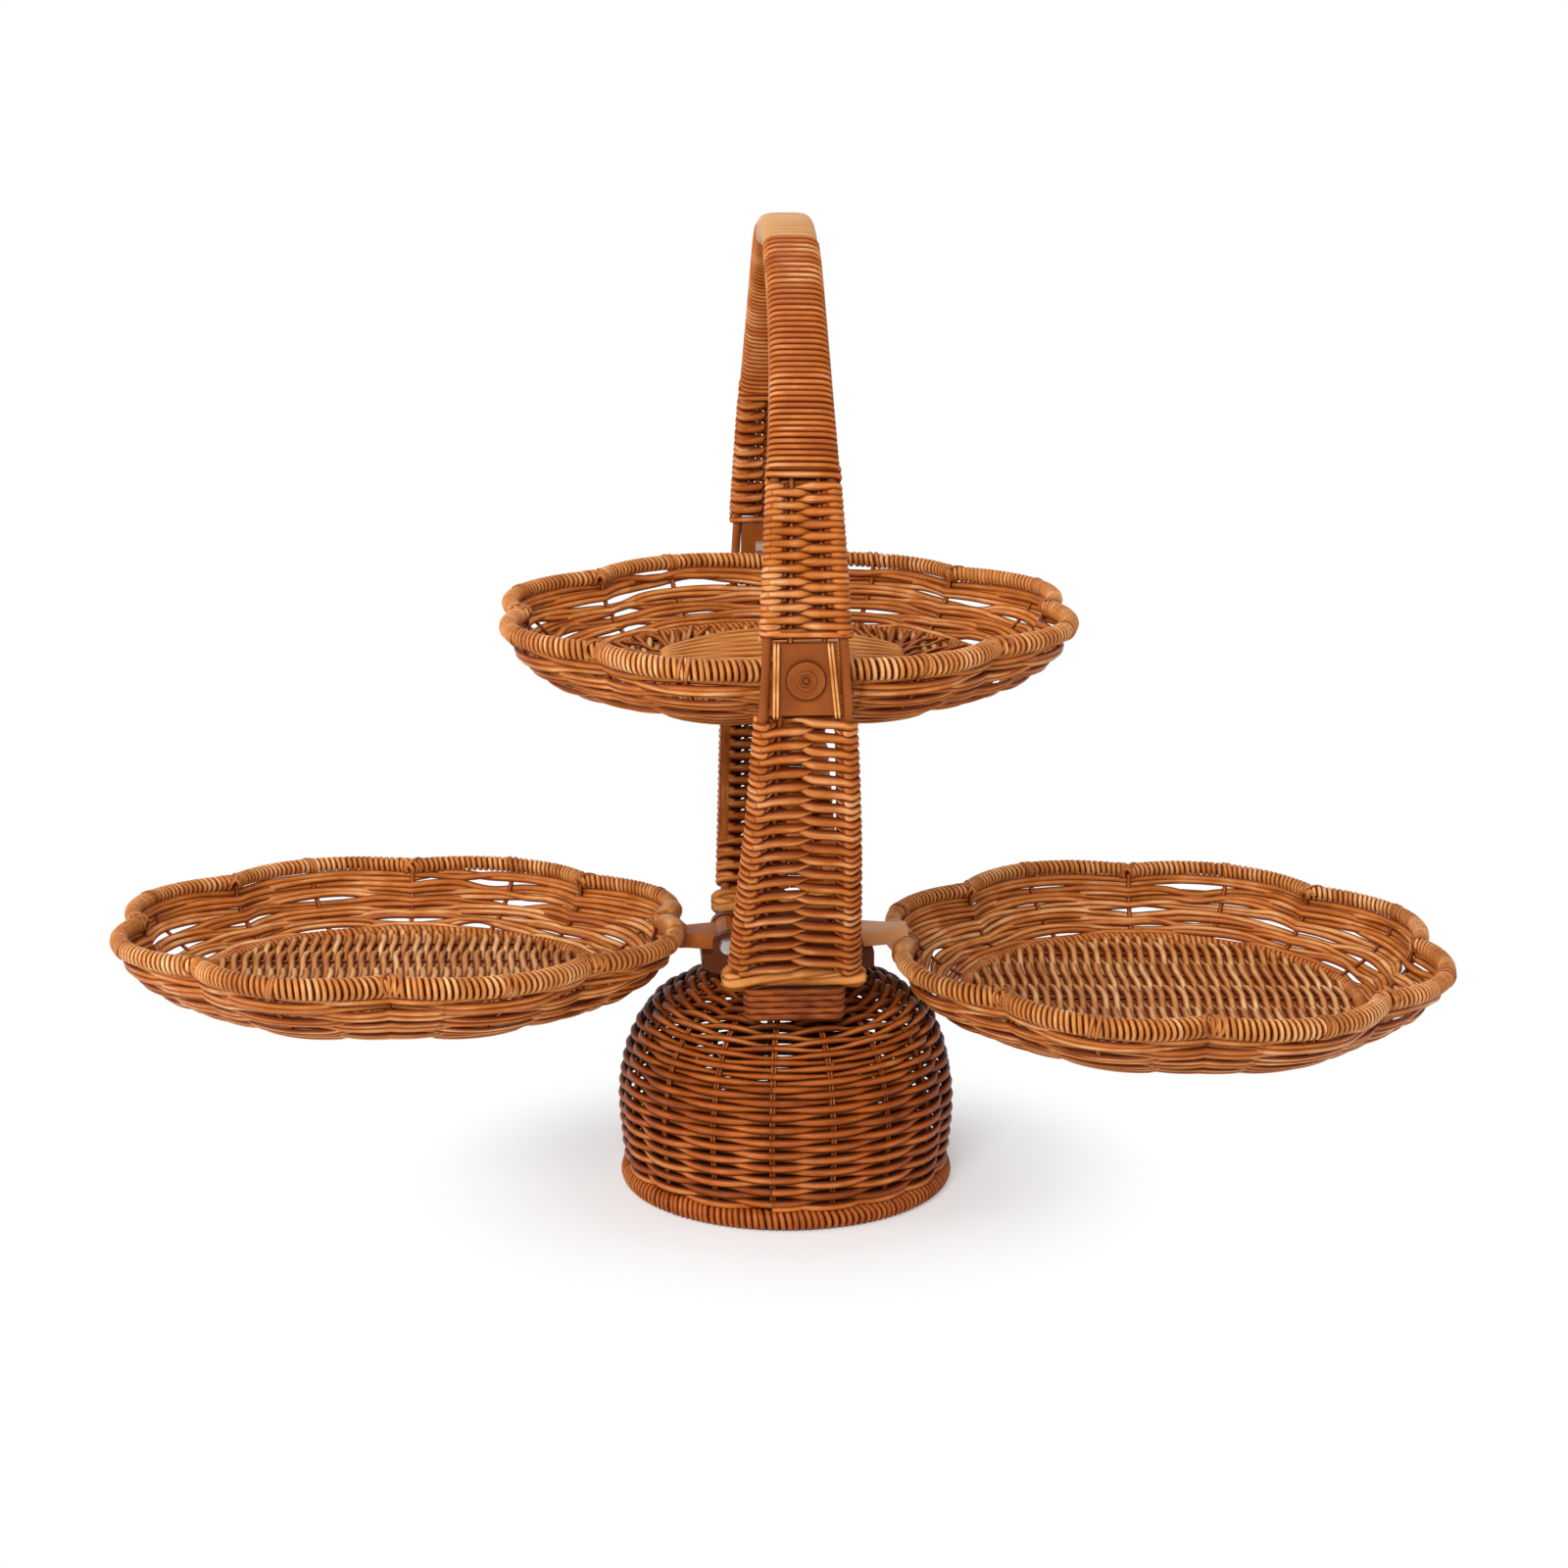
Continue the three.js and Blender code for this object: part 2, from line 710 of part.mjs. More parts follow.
// The plate fills the window between the woven parts, set back behind the sticks, and is bored
// for the pivot.
function plateGeometry(side) {
  const legEndTilt = (legThickness * windowHeight) / 4 / archReach;
  const half = windowHeight / 2 - clearance - legEndTilt;
  const corner = (height, way) => [
    way * (postEdge(height) - postWidth - clearance * 2),
    height,
  ];
  const low = pivotHeight - half;
  const high = pivotHeight + half;
  const outline = polygon([corner(low, -1), corner(low, 1), corner(high, 1), corner(high, -1)]);
  const face = archReach + plateThickness / 2 - plateSetback;
  const [near, far] = [side * face, side * (face - plateThickness)].sort((a, b) => a - b);
  const plate = toSolid(alongY(outline, near, far));
  const bore = rodAlongY(studRadius + clearance, 0, pivotHeight, near - overrun, far + overrun);
  return toGeometry(plate.subtract(toSolid(bore)));
}

function stickReach(height) {
  return postEdge(height) - postWidth - clearance * 2 - stickDiameter;
}

function stickGeometry(side, way) {
  const half = windowHeight / 2 - clearance;
  const away = plateThickness / 2 - plateSetback + clearance + stickDiameter / 2;
  const rows = [pivotHeight - half, pivotHeight + half].map((height) => {
    const offsets = [];
    for (let j = 0; j < ringSides; j++) {
      const angle = (j / ringSides) * 2 * Math.PI;
      offsets.push([
        way * stickReach(height) + (stickDiameter / 2) * Math.cos(angle),
        away + archReach - archAt(height).out + (stickDiameter / 2) * Math.sin(angle),
      ]);
    }
    return archSection(side, height, offsets);
  });
  return skin(rows);
}

// The bar at a leg's foot, wrapped with smooth strands and rounded at its ends.
const wrapEndShares = [
  [-1, 0.55],
  [-0.93, 0.88],
  [-0.82, 1],
  [0.82, 1],
  [0.93, 0.88],
  [1, 0.55],
];

function footWrapGeometry(side) {
  const { out, up } = footPlace();
  const half = footHalfWidth + weftWrap + strandDiameter;
  const rows = wrapEndShares.map(([alongShare, fullShare]) => {
    const row = [];
    for (let j = 0; j < footSides; j++) {
      const angle = (j / footSides) * 2 * Math.PI;
      const y = side * out + (fullShare * wrapDepth * Math.cos(angle)) / 2;
      row.push(new THREE.Vector3(alongShare * half, y, up + (fullShare * wrapHeight * Math.sin(angle)) / 2));
    }
    return row;
  });
  return skin(rows);
}

// The grip follows the top of the arch, from one leg's end to the other's.
function gripPlace(angle, x, away) {
  const outward = new THREE.Vector2(Math.cos(angle) / archReach, Math.sin(angle) / archRise).normalize();
  return new THREE.Vector3(
    x,
    -(archReach * Math.cos(angle) + away * outward.x),
    pivotHeight + archRise * Math.sin(angle) + away * outward.y,
  );
}

// The core's half width: it narrows from the handle's ends to the top.
const coreEaseShare = 1.7;
function coreHalfWidth(angle) {
  const climb = (Math.sin(angle) - Math.sin(gripStart)) / (1 - Math.sin(gripStart));
  return gripHalfWidth - coreSetback - coreTaper * (1 - (1 - climb) ** coreEaseShare);
}

function gripSpeed(angle) {
  return Math.hypot(archReach * Math.sin(angle), archRise * Math.cos(angle));
}

const gripStart = Math.asin((gripStartHeight - pivotHeight) / archRise);
const coreStart = gripStart + clearance / gripSpeed(gripStart);
const coreSectionShares = [
  [1, 0.5],
  [0.75, 1],
  [-0.75, 1],
  [-1, 0.5],
  [-1, -0.5],
  [-0.75, -1],
  [0.75, -1],
  [1, -0.5],
];

function gripCoreGeometry() {
  const rows = [];
  for (let i = 0; i <= coreSteps; i++) {
    const angle = coreStart + ((Math.PI - 2 * coreStart) * i) / coreSteps;
    rows.push(
      coreSectionShares.map(([widthShare, thickShare]) =>
        gripPlace(angle, widthShare * coreHalfWidth(angle), (thickShare * coreThickness) / 2),
      ),
    );
  }
  return skin(rows);
}

// The winding is one unbroken ribbon of strands laid side by side, wound on round the core.
const ribbonRoundShare = 0.6;
const ribbonEdgeShare = 0.82;
function gripWindingGeometry() {
  const faceReach = coreThickness / 2 + ribbonFaceLift + ribbonThickness / 2;
  const soften = (value) => Math.sign(value) * Math.abs(value) ** ribbonRoundShare;
  const turnAngle = (Math.PI - 2 * coreStart) / (gripLoops + 1);
  const first = coreStart + turnAngle / 2;
  const rows = [];
  for (let i = 0; i <= gripLoops * loopSteps; i++) {
    const angle = first + (turnAngle * i) / loopSteps;
    const round = ((i % loopSteps) / loopSteps) * 2 * Math.PI;
    const sideReach = coreHalfWidth(angle) + ribbonSideLift + ribbonThickness / 2;
    const x = sideReach * soften(Math.cos(round));
    const away = faceReach * soften(Math.sin(round));
    const lift = new THREE.Vector2(Math.cos(round) / sideReach, Math.sin(round) / faceReach).normalize();
    const halfAngle = turnAngle / 2 - ribbonGap / 2 / gripSpeed(angle);
    const half = ribbonThickness / 2;
    const corners = [
      [-1, 0],
      [-ribbonEdgeShare, 1],
      [ribbonEdgeShare, 1],
      [1, 0],
      [ribbonEdgeShare, -1],
      [-ribbonEdgeShare, -1],
    ];
    rows.push(
      corners.map(([alongShare, liftShare]) =>
        gripPlace(
          angle + alongShare * halfAngle,
          x + liftShare * half * lift.x,
          away + liftShare * half * lift.y,
        ),
      ),
    );
  }
  console.log("grip winding, least gap to itself: " + leastGap(rows, loopSteps - 2).toFixed(2) + " mm");
  return skin(rows);
}

// The least distance between points of rows that lie at least so many rows apart.
function leastGap(rows, apart) {
  let least = Infinity;
  for (let i = 0; i < rows.length; i++) {
    const last = Math.min(rows.length, i + 2 * apart + 4);
    for (let j = i + apart; j < last; j++) {
      for (const a of rows[i]) {
        for (const b of rows[j]) {
          least = Math.min(least, a.distanceTo(b));
        }
      }
    }
  }
  return least;
}

// A lug clasps the top basket's rim at its front or rear valley, and its stud turns in the plate.
function lugGeometry(side, place) {
  const face = archReach + plateThickness / 2 - plateSetback;
  const innerFace = face - plateThickness - clearance;
  const valley = rimValleyRadius;
  const span = (from, to) => [side * from, side * to].sort((a, b) => a - b);
  let solid = toSolid(
    box(
      [-lugWidth / 2, lugWidth / 2],
      span(valley + palmSetback, valley + lugReach),
      [pivotHeight - lugHeight / 2, pivotHeight + lugHeight / 2],
    ),
  );
  const shoulder = span(valley + lugReach / 2, innerFace);
  solid = solid.add(toSolid(rodAlongY(shoulderRadius, 0, pivotHeight, ...shoulder)));
  solid = solid.add(toSolid(rodAlongY(studRadius, 0, pivotHeight, ...span(valley + lugReach / 2, face))));
  const rim = rimTubeGeometry(rimTube + clasp).applyMatrix4(place);
  return toGeometry(solid.subtract(toSolid(rim)));
}

// The round cap that closes each stud's end, between the sticks, with a raised ring and a dimple.
const capProfileShares = [
  [0, 0],
  [1, 0],
  [1, 0.7],
  [0.92, 1],
  [0.55, 1],
  [0.5, 1.25],
  [0.36, 1.25],
  [0.31, 0.85],
  [0, 0.85],
];

function capGeometry(side) {
  const capRadius = stickReach(pivotHeight) - stickDiameter / 2 - capMargin;
  const face = archReach + plateThickness / 2 - plateSetback + clearance;
  const profile = capProfileShares.map(
    ([radiusShare, thickShare]) => new THREE.Vector2(radiusShare * capRadius, thickShare * capThickness),
  );
  const cap = new THREE.LatheGeometry(profile, discSides);
  if (side < 0) cap.rotateX(2 * quarterTurn);
  return cap.translate(0, side * face, pivotHeight);
}

function handle() {
  const group = new THREE.Group();
  const windowLow = pivotHeight - windowHeight / 2;
  const windowHigh = pivotHeight + windowHeight / 2;
  const lower = heights(legFootHeight(), windowLow, lowerLegSteps);
  const upper = heights(windowHigh, gripStartHeight, upperLegSteps);
  for (const [end, side] of [["front", -1], ["rear", 1]]) {
    group.add(piece(end + "_foot_wrap", footWrapGeometry(side), caneFinish));
    group.add(piece(end + "_lower_leg", legGeometry(side, lower), wovenFinish));
    group.add(piece(end + "_upper_leg", legGeometry(side, upper), wovenFinish));
    group.add(piece(end + "_pivot_plate", plateGeometry(side), plasticFinish));
    for (const [hand, way] of [["left", -1], ["right", 1]]) {
      const post = postGeometry(side, way, [...lower, ...upper], 0);
      group.add(piece(end + "_" + hand + "_post", post, plasticFinish));
      group.add(piece(end + "_" + hand + "_stick", stickGeometry(side, way), caneFinish));
    }
  }
  group.add(piece("grip_core", gripCoreGeometry(), plasticFinish));
  group.add(piece("grip_winding", gripWindingGeometry(), caneFinish));
  return group;
}

const stand = new THREE.Group();
stand.name = "fruit_basket_stand";
stand.add(pedestal());
stand.add(piece("hub", hubGeometry(), plasticFinish));
stand.add(handle());

const lowerBaskets = [
  ["left", -1, basketPlace(-basketReach, hingeHeight + leftSettle, leftPitch, leftRoll)],
  ["right", 1, basketPlace(basketReach, hingeHeight + rightSettle, rightPitch, rightRoll)],
];
for (const [hand, way, place] of lowerBaskets) {
  stand.add(piece(hand + "_hinge_pin", hingePinGeometry(way), steelFinish));
  stand.add(piece(hand + "_arm", armGeometry(way, place), plasticFinish));
  stand.add(basket(hand, place));
}

const topPlace = basketPlace(0, pivotHeight, 0, 0);
stand.add(basket("top", topPlace));
for (const [end, side] of [["front", -1], ["rear", 1]]) {
  stand.add(piece(end + "_pivot_lug", lugGeometry(side, topPlace), plasticFinish));
  stand.add(piece(end + "_pivot_cap", capGeometry(side), plasticFinish));
}

export default stand;
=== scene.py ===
import math

import bpy
import numpy as np
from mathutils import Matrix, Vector


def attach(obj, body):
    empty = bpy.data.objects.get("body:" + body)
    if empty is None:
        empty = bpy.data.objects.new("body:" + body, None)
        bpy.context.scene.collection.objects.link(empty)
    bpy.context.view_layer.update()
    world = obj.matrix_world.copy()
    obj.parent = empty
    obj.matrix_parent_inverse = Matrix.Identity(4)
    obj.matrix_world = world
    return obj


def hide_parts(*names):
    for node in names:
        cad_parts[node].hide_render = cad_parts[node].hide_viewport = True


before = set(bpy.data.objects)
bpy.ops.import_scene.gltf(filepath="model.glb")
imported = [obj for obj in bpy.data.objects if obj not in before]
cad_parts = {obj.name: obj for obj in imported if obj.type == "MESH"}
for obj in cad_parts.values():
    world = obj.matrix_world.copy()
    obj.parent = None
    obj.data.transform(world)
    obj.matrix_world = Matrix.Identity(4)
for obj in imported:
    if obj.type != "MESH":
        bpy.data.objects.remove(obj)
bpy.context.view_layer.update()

bpy.ops.object.select_all(action="DESELECT")


# Camera.
# The stand is seen from the front and a little above, from about two metres away, with a
# long lens that keeps the three baskets almost free of perspective.
camera_turn = math.radians(-3.23)
camera_rise = math.radians(14.18)
camera_distance = 2.0
camera_aim = Vector((-0.00113, 0.0, 0.2254))
camera_way = Vector((
    math.sin(camera_turn) * math.cos(camera_rise),
    -math.cos(camera_turn) * math.cos(camera_rise),
    math.sin(camera_rise),
))
bpy.ops.object.camera_add(location=camera_aim + camera_way * camera_distance)
camera = bpy.context.object
camera.rotation_euler = (-camera_way).to_track_quat("-Z", "Y").to_euler()
camera.data.sensor_fit = "HORIZONTAL"
camera.data.sensor_width = 36
camera.data.lens = 84.38
bpy.context.scene.camera = camera


# Floor and light.
# The stand is photographed on white: a pale floor that takes a soft shadow round the foot and
# clears to plain white further out, under a wide soft box with a paler one at each side.
bpy.context.scene.view_settings.view_transform = "Standard"
bpy.ops.mesh.primitive_plane_add(size=12)
floor = bpy.context.object
floor.name = "floor_sheet"


def add(nodes, kind, values=None, **settings):
    node = nodes.new("ShaderNode" + kind)
    for setting, value in settings.items():
        setattr(node, setting, value)
    for socket, value in (values or {}).items():
        node.inputs[socket].default_value = value
    return node


# The camera, a shine or a clear thing sees plain white where other rays see the room's light.
def seen_directly(nodes, links):
    light_path = add(nodes, "LightPath")
    seen = add(nodes, "Math", operation="MAXIMUM")
    seen_also = add(nodes, "Math", operation="MAXIMUM")
    links.new(light_path.outputs["Is Camera Ray"], seen.inputs[0])
    links.new(light_path.outputs["Is Glossy Ray"], seen.inputs[1])
    links.new(seen.outputs[0], seen_also.inputs[0])
    links.new(light_path.outputs["Is Transmission Ray"], seen_also.inputs[1])
    return seen_also.outputs[0]


foot_ring_radius = 0.086

paper = bpy.data.materials.new("white_paper")
paper.use_nodes = True
nodes, links = paper.node_tree.nodes, paper.node_tree.links
shader = nodes["Principled BSDF"]
shader.inputs["Roughness"].default_value = 0.9
shader.inputs["Specular IOR Level"].default_value = 0.1
glow = add(nodes, "Emission")
place = add(nodes, "TexCoord")
reach = add(nodes, "VectorMath", operation="LENGTH")
clear = add(nodes, "MapRange", {
    "From Min": 0.085, "From Max": 0.22, "To Min": 0.4, "To Max": 1.0,
}, interpolation_type="SMOOTHSTEP")
outside = add(nodes, "Math", {1: foot_ring_radius}, operation="GREATER_THAN")
share = add(nodes, "Math", operation="MULTIPLY")
share_outside = add(nodes, "Math", operation="MULTIPLY")
# Inside the foot ring the sheet's colour is painted dark brown: painted shade under the dome.
shade = add(nodes, "Mix", {"A": (0.1, 0.06, 0.04, 1), "B": (0.9, 0.9, 0.9, 1)}, data_type="RGBA")
mix = add(nodes, "MixShader")
links.new(place.outputs["Object"], reach.inputs[0])
links.new(reach.outputs["Value"], clear.inputs["Value"])
links.new(reach.outputs["Value"], outside.inputs[0])
links.new(clear.outputs["Result"], share.inputs[0])
links.new(seen_directly(nodes, links), share.inputs[1])
links.new(share.outputs[0], share_outside.inputs[0])
links.new(outside.outputs[0], share_outside.inputs[1])
links.new(outside.outputs[0], shade.inputs["Factor"])
links.new(shade.outputs["Result"], shader.inputs["Base Color"])
links.new(share_outside.outputs[0], mix.inputs["Fac"])
links.new(shader.outputs["BSDF"], mix.inputs[1])
links.new(glow.outputs["Emission"], mix.inputs[2])
links.new(mix.outputs["Shader"], nodes["Material Output"].inputs["Surface"])
floor.data.materials.append(paper)

world = bpy.data.worlds.new("studio")
bpy.context.scene.world = world
world.use_nodes = True
nodes, links = world.node_tree.nodes, world.node_tree.links
room = nodes["Background"]
room.inputs["Color"].default_value = (1, 1, 1, 1)
room.inputs["Strength"].default_value = 0.25
backdrop = add(nodes, "Background", {"Color": (1, 1, 1, 1), "Strength": 1.0})
mix = add(nodes, "MixShader")
links.new(seen_directly(nodes, links), mix.inputs["Fac"])
links.new(room.outputs["Background"], mix.inputs[1])
links.new(backdrop.outputs["Background"], mix.inputs[2])
links.new(mix.outputs["Shader"], nodes["World Output"].inputs["Surface"])

for name, at, aim, size, power in (
    ("soft_box", (-0.5, -2.1, 1.5), (0, 0, 0.25), 0.9, 52),
    ("top_box", (0, 0.2, 2.3), (0, 0, 0.25), 1.1, 16),
    ("left_fill", (-2.2, -0.4, 0.8), (0, 0, 0.2), 1.0, 28),
    ("right_fill", (2.2, -0.4, 0.8), (0, 0, 0.2), 1.0, 12),
):
    bpy.ops.object.light_add(type="AREA", location=at)
    lamp = bpy.context.object
    lamp.name = name
    lamp.rotation_euler = (Vector(aim) - Vector(at)).to_track_quat("-Z", "Y").to_euler()
    lamp.data.size = size
    lamp.data.energy = power


# Foot ring.
# The ring that the dome stands on is a bent rod with one strand of poly-rattan wound round it
# from end to end. Poly-rattan is extruded: a soft-edged strand about 3 mm across, orange brown,
# with fine streaks along it and a darker or lighter stretch every few centimetres.
def cane_grain():
    grain = bpy.data.node_groups.new("cane_grain", "ShaderNodeTree")
    for label, way, kind in (
        ("Colour", "INPUT", "Color"), ("Dark", "INPUT", "Color"), ("Pale", "INPUT", "Color"),
        ("Colour", "OUTPUT", "Color"), ("Roughness", "OUTPUT", "Float"),
        ("Height", "OUTPUT", "Float"),
    ):
        grain.interface.new_socket(label, in_out=way, socket_type="NodeSocket" + kind)
    nodes, links = grain.nodes, grain.links
    given = nodes.new("NodeGroupInput")
    result = nodes.new("NodeGroupOutput")
    uv = add(nodes, "UVMap", uv_map="UVMap")
    tone = add(nodes, "Attribute", attribute_name="tone")
    place = add(nodes, "TexCoord")

    patches = add(nodes, "TexNoise", {"Scale": 55, "Detail": 3})
    links.new(place.outputs["Object"], patches.inputs["Vector"])

    # Each stretch of strand has streaks of its own: the tone moves the noise.
    stretch = add(nodes, "Mapping", {"Scale": (70, 9, 1)})
    streaks = add(nodes, "TexNoise", {
        "Scale": 1, "Detail": 4, "Roughness": 0.6}, noise_dimensions="4D")
    shift = add(nodes, "Math", {1: 37}, operation="MULTIPLY")
    links.new(uv.outputs["UV"], stretch.inputs["Vector"])
    links.new(stretch.outputs["Vector"], streaks.inputs["Vector"])
    links.new(tone.outputs["Fac"], shift.inputs[0])
    links.new(shift.outputs[0], streaks.inputs["W"])

    # The colour's place between dark and pale: streaks, patches and the stretch's tone.
    spread = add(nodes, "MapRange", {"From Min": 0.3, "From Max": 0.7})
    half = add(nodes, "Math", {1: 0.42}, operation="MULTIPLY_ADD")
    toned = add(nodes, "Math", {1: 0.5}, operation="MULTIPLY_ADD")
    patched = add(nodes, "MapRange", {
        "From Min": 0.3, "From Max": 0.7, "To Min": -0.15, "To Max": 0.15})
    links.new(streaks.outputs["Fac"], spread.inputs["Value"])
    links.new(spread.outputs["Result"], half.inputs[0])
    links.new(tone.outputs["Fac"], toned.inputs[0])
    links.new(patches.outputs["Fac"], patched.inputs["Value"])
    links.new(patched.outputs["Result"], toned.inputs[2])
    links.new(toned.outputs[0], half.inputs[2])

    low = add(nodes, "Mix", data_type="RGBA")
    high = add(nodes, "Mix", data_type="RGBA")
    up_to = add(nodes, "MapRange", {"From Max": 0.55})
    beyond = add(nodes, "MapRange", {"From Min": 0.55, "From Max": 1.05})
    links.new(half.outputs[0], up_to.inputs["Value"])
    links.new(half.outputs[0], beyond.inputs["Value"])
    links.new(up_to.outputs["Result"], low.inputs["Factor"])
    links.new(given.outputs["Dark"], low.inputs["A"])
    links.new(given.outputs["Colour"], low.inputs["B"])
    links.new(beyond.outputs["Result"], high.inputs["Factor"])
    links.new(low.outputs["Result"], high.inputs["A"])
    links.new(given.outputs["Pale"], high.inputs["B"])

    # The strand's flanks are mixed towards the dark colour, as painted shade in the grooves between
    # strands; the face keeps the lighter colour.
    sides = add(nodes, "SeparateXYZ")
    flank = add(nodes, "MapRange", {
        "From Min": 0.1, "From Max": 0.5, "To Max": 0.92}, interpolation_type="SMOOTHSTEP")
    painted_flank_shade = add(nodes, "Mix", data_type="RGBA")
    links.new(uv.outputs["UV"], sides.inputs[0])
    links.new(sides.outputs["Y"], flank.inputs["Value"])
    links.new(flank.outputs["Result"], painted_flank_shade.inputs["Factor"])
    links.new(high.outputs["Result"], painted_flank_shade.inputs["A"])
    links.new(given.outputs["Dark"], painted_flank_shade.inputs["B"])
    gloss = add(nodes, "MapRange", {"To Min": 0.5, "To Max": 0.38})
    links.new(spread.outputs["Result"], gloss.inputs["Value"])
    links.new(painted_flank_shade.outputs["Result"], result.inputs["Colour"])
    links.new(gloss.outputs["Result"], result.inputs["Roughness"])
    links.new(streaks.outputs["Fac"], result.inputs["Height"])
    return grain


grain = cane_grain()


def cane(name, colour, dark, pale):
    finish = bpy.data.materials.new(name)
    finish.use_nodes = True
    nodes, links = finish.node_tree.nodes, finish.node_tree.links
    shader = nodes["Principled BSDF"]
    pattern = add(nodes, "Group", {
        "Colour": (*colour, 1), "Dark": (*dark, 1), "Pale": (*pale, 1)}, node_tree=grain)
    relief = add(nodes, "Bump", {"Strength": 0.25, "Distance": 0.0006})
    links.new(pattern.outputs["Height"], relief.inputs["Height"])
    links.new(pattern.outputs["Colour"], shader.inputs["Base Color"])
    links.new(pattern.outputs["Roughness"], shader.inputs["Roughness"])
    links.new(relief.outputs["Normal"], shader.inputs["Normal"])
    shader.inputs["Specular IOR Level"].default_value = 0.14
    return finish


orange_cane = cane("orange_cane", (0.45, 0.125, 0.014), (0.14, 0.016, 0.0005), (0.90, 0.50, 0.22))
wall_cane = cane("wall_cane", (0.52, 0.165, 0.028), (0.17, 0.024, 0.001), (0.92, 0.56, 0.26))
rim_cane = cane("rim_cane", (0.54, 0.20, 0.045), (0.17, 0.03, 0.002), (0.92, 0.58, 0.28))
dark_cane = cane("dark_cane", (0.42, 0.095, 0.011), (0.08, 0.010, 0.0005), (0.74, 0.28, 0.08))
tan_cane = cane("tan_cane", (0.55, 0.20, 0.04), (0.30, 0.08, 0.01), (0.80, 0.42, 0.14))
core_cane = cane("core_cane", (0.09, 0.014, 0.002), (0.04, 0.006, 0.001), (0.16, 0.03, 0.005))


def unit(rows):
    return rows / np.maximum(np.linalg.norm(rows, axis=-1, keepdims=True), 1e-12)


def lengths_along(path):
    return np.concatenate([[0], np.cumsum(np.linalg.norm(np.diff(path, axis=0), axis=1))])


# Strands are laid as sweeps: each one is a path, the way its flat side faces, its tone, and,
# where it isn't of one thickness, how much it swells at each point.
def lay_strands(name, strands, half_width, half_thickness, sides=6):
    around = (np.arange(sides) + 0.5) * 2 * math.pi / sides
    widen = 1 / math.cos(math.pi / sides)
    all_points, all_corners, all_sizes, all_uv, all_tones = [], [], [], [], []
    first = 0
    for path, facing, tone, *more in strands:
        path = np.asarray(path, float)
        swell = np.broadcast_to(more[0] if more else 1.0, len(path))[:, None, None]
        tangent = unit(np.gradient(path, axis=0))
        side = unit(np.cross(tangent, facing))
        lift = np.cross(side, tangent)
        ring = (
            path[:, None]
            + (np.cos(around) * half_width * widen)[None, :, None] * side[:, None] * swell
            + (np.sin(around) * half_thickness)[None, :, None] * lift[:, None] * swell
        )
        count = len(path)
        index = first + np.arange(count * sides).reshape(count, sides)
        after = np.roll(index, -1, axis=1)
        quads = np.stack([index[:-1], index[1:], after[1:], after[:-1]], -1).reshape(-1, 4)
        along = lengths_along(path)
        left = 1 - np.abs(np.sin(around))
        right = np.roll(left, -1)
        u = np.repeat(np.stack([along[:-1], along[1:], along[1:], along[:-1]], -1), sides, axis=0)
        v = np.tile(np.stack([left, left, right, right], -1), (count - 1, 1))
        all_points.append(ring.reshape(-1, 3))
        all_corners += [quads.ravel(), index[0], index[-1][::-1]]
        all_sizes += [np.full(len(quads), 4), [sides, sides]]
        all_uv += [np.stack([u.ravel(), v.ravel()], -1), np.zeros((2 * sides, 2))]
        all_tones.append(np.full(count * sides, tone))
        first += count * sides
    points = np.concatenate(all_points).astype(np.float32)
    corners = np.concatenate(all_corners).astype(np.int32)
    sizes = np.concatenate(all_sizes).astype(np.int32)
    starts = np.concatenate([[0], np.cumsum(sizes)[:-1]]).astype(np.int32)
    places = np.concatenate(all_uv).astype(np.float32)
    tones = np.concatenate(all_tones).astype(np.float32)
    mesh = bpy.data.meshes.new(name)
    mesh.vertices.add(len(points))
    mesh.vertices.foreach_set("co", points.ravel())
    mesh.loops.add(len(corners))
    mesh.loops.foreach_set("vertex_index", corners)
    mesh.polygons.add(len(sizes))
    mesh.polygons.foreach_set("loop_start", starts)
    mesh.polygons.foreach_set("use_smooth", np.ones(len(sizes), bool))
    mesh.uv_layers.new(name="UVMap").data.foreach_set("uv", places.ravel())
    mesh.attributes.new("tone", "FLOAT", "POINT").data.foreach_set("value", tones)
    mesh.update()
    mesh.validate()
    piece = bpy.data.objects.new(name, mesh)
    bpy.context.scene.collection.objects.link(piece)
    return piece


def at_lengths(rows, lengths, wanted):
    return np.stack([np.interp(wanted, lengths, rows[:, k]) for k in range(rows.shape[1])], -1)


# One strand wound round a bar: it goes once round per pitch, at the reach from the bar's middle.
def wound(path, up, pitch, reach, lean=0.0, steps=12, seed=1, shake=0.00015):
    chance = np.random.default_rng(seed)
    lengths = lengths_along(path)
    pitch = np.broadcast_to(pitch, len(path))
    turns = np.concatenate([[0], np.cumsum(np.diff(lengths) * 2 / (pitch[1:] + pitch[:-1]))])
    count = max(1, round(turns[-1]))
    turns *= count / turns[-1]
    step = np.arange(count * steps + 1) / steps
    phase = 2 * math.pi * step
    ends = np.clip(np.minimum(step, count - step), 0, 1)
    place = np.interp(step, turns, lengths)
    lean = np.interp(step, turns, np.broadcast_to(lean, len(path)))
    loose = np.interp(step, np.arange(2 * count + 2) / 2, chance.normal(0, shake, 2 * count + 2))
    place = np.clip(place + (lean * np.sin(phase) + loose) * ends, 0, lengths[-1])
    reach = np.interp(place, lengths, np.broadcast_to(reach, len(path)))[:, None]
    middle = at_lengths(path, lengths, place)
    tangent = unit(at_lengths(np.gradient(path, axis=0), lengths, place))
    up = at_lengths(np.broadcast_to(up, path.shape), lengths, place)
    across = unit(np.cross(tangent, up))
    above = np.cross(across, tangent)
    way = np.cos(phase)[:, None] * above + np.sin(phase)[:, None] * across
    return middle + way * reach, way


def fit(piece, finish, body, slot, *nodes_replaced):
    piece.data.materials.append(finish)
    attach(piece, body)
    if nodes_replaced:
        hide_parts(*nodes_replaced)


def ring_line(turn, radius, level):
    return np.stack([radius * np.cos(turn), radius * np.sin(turn), np.full(len(turn), level)], -1)


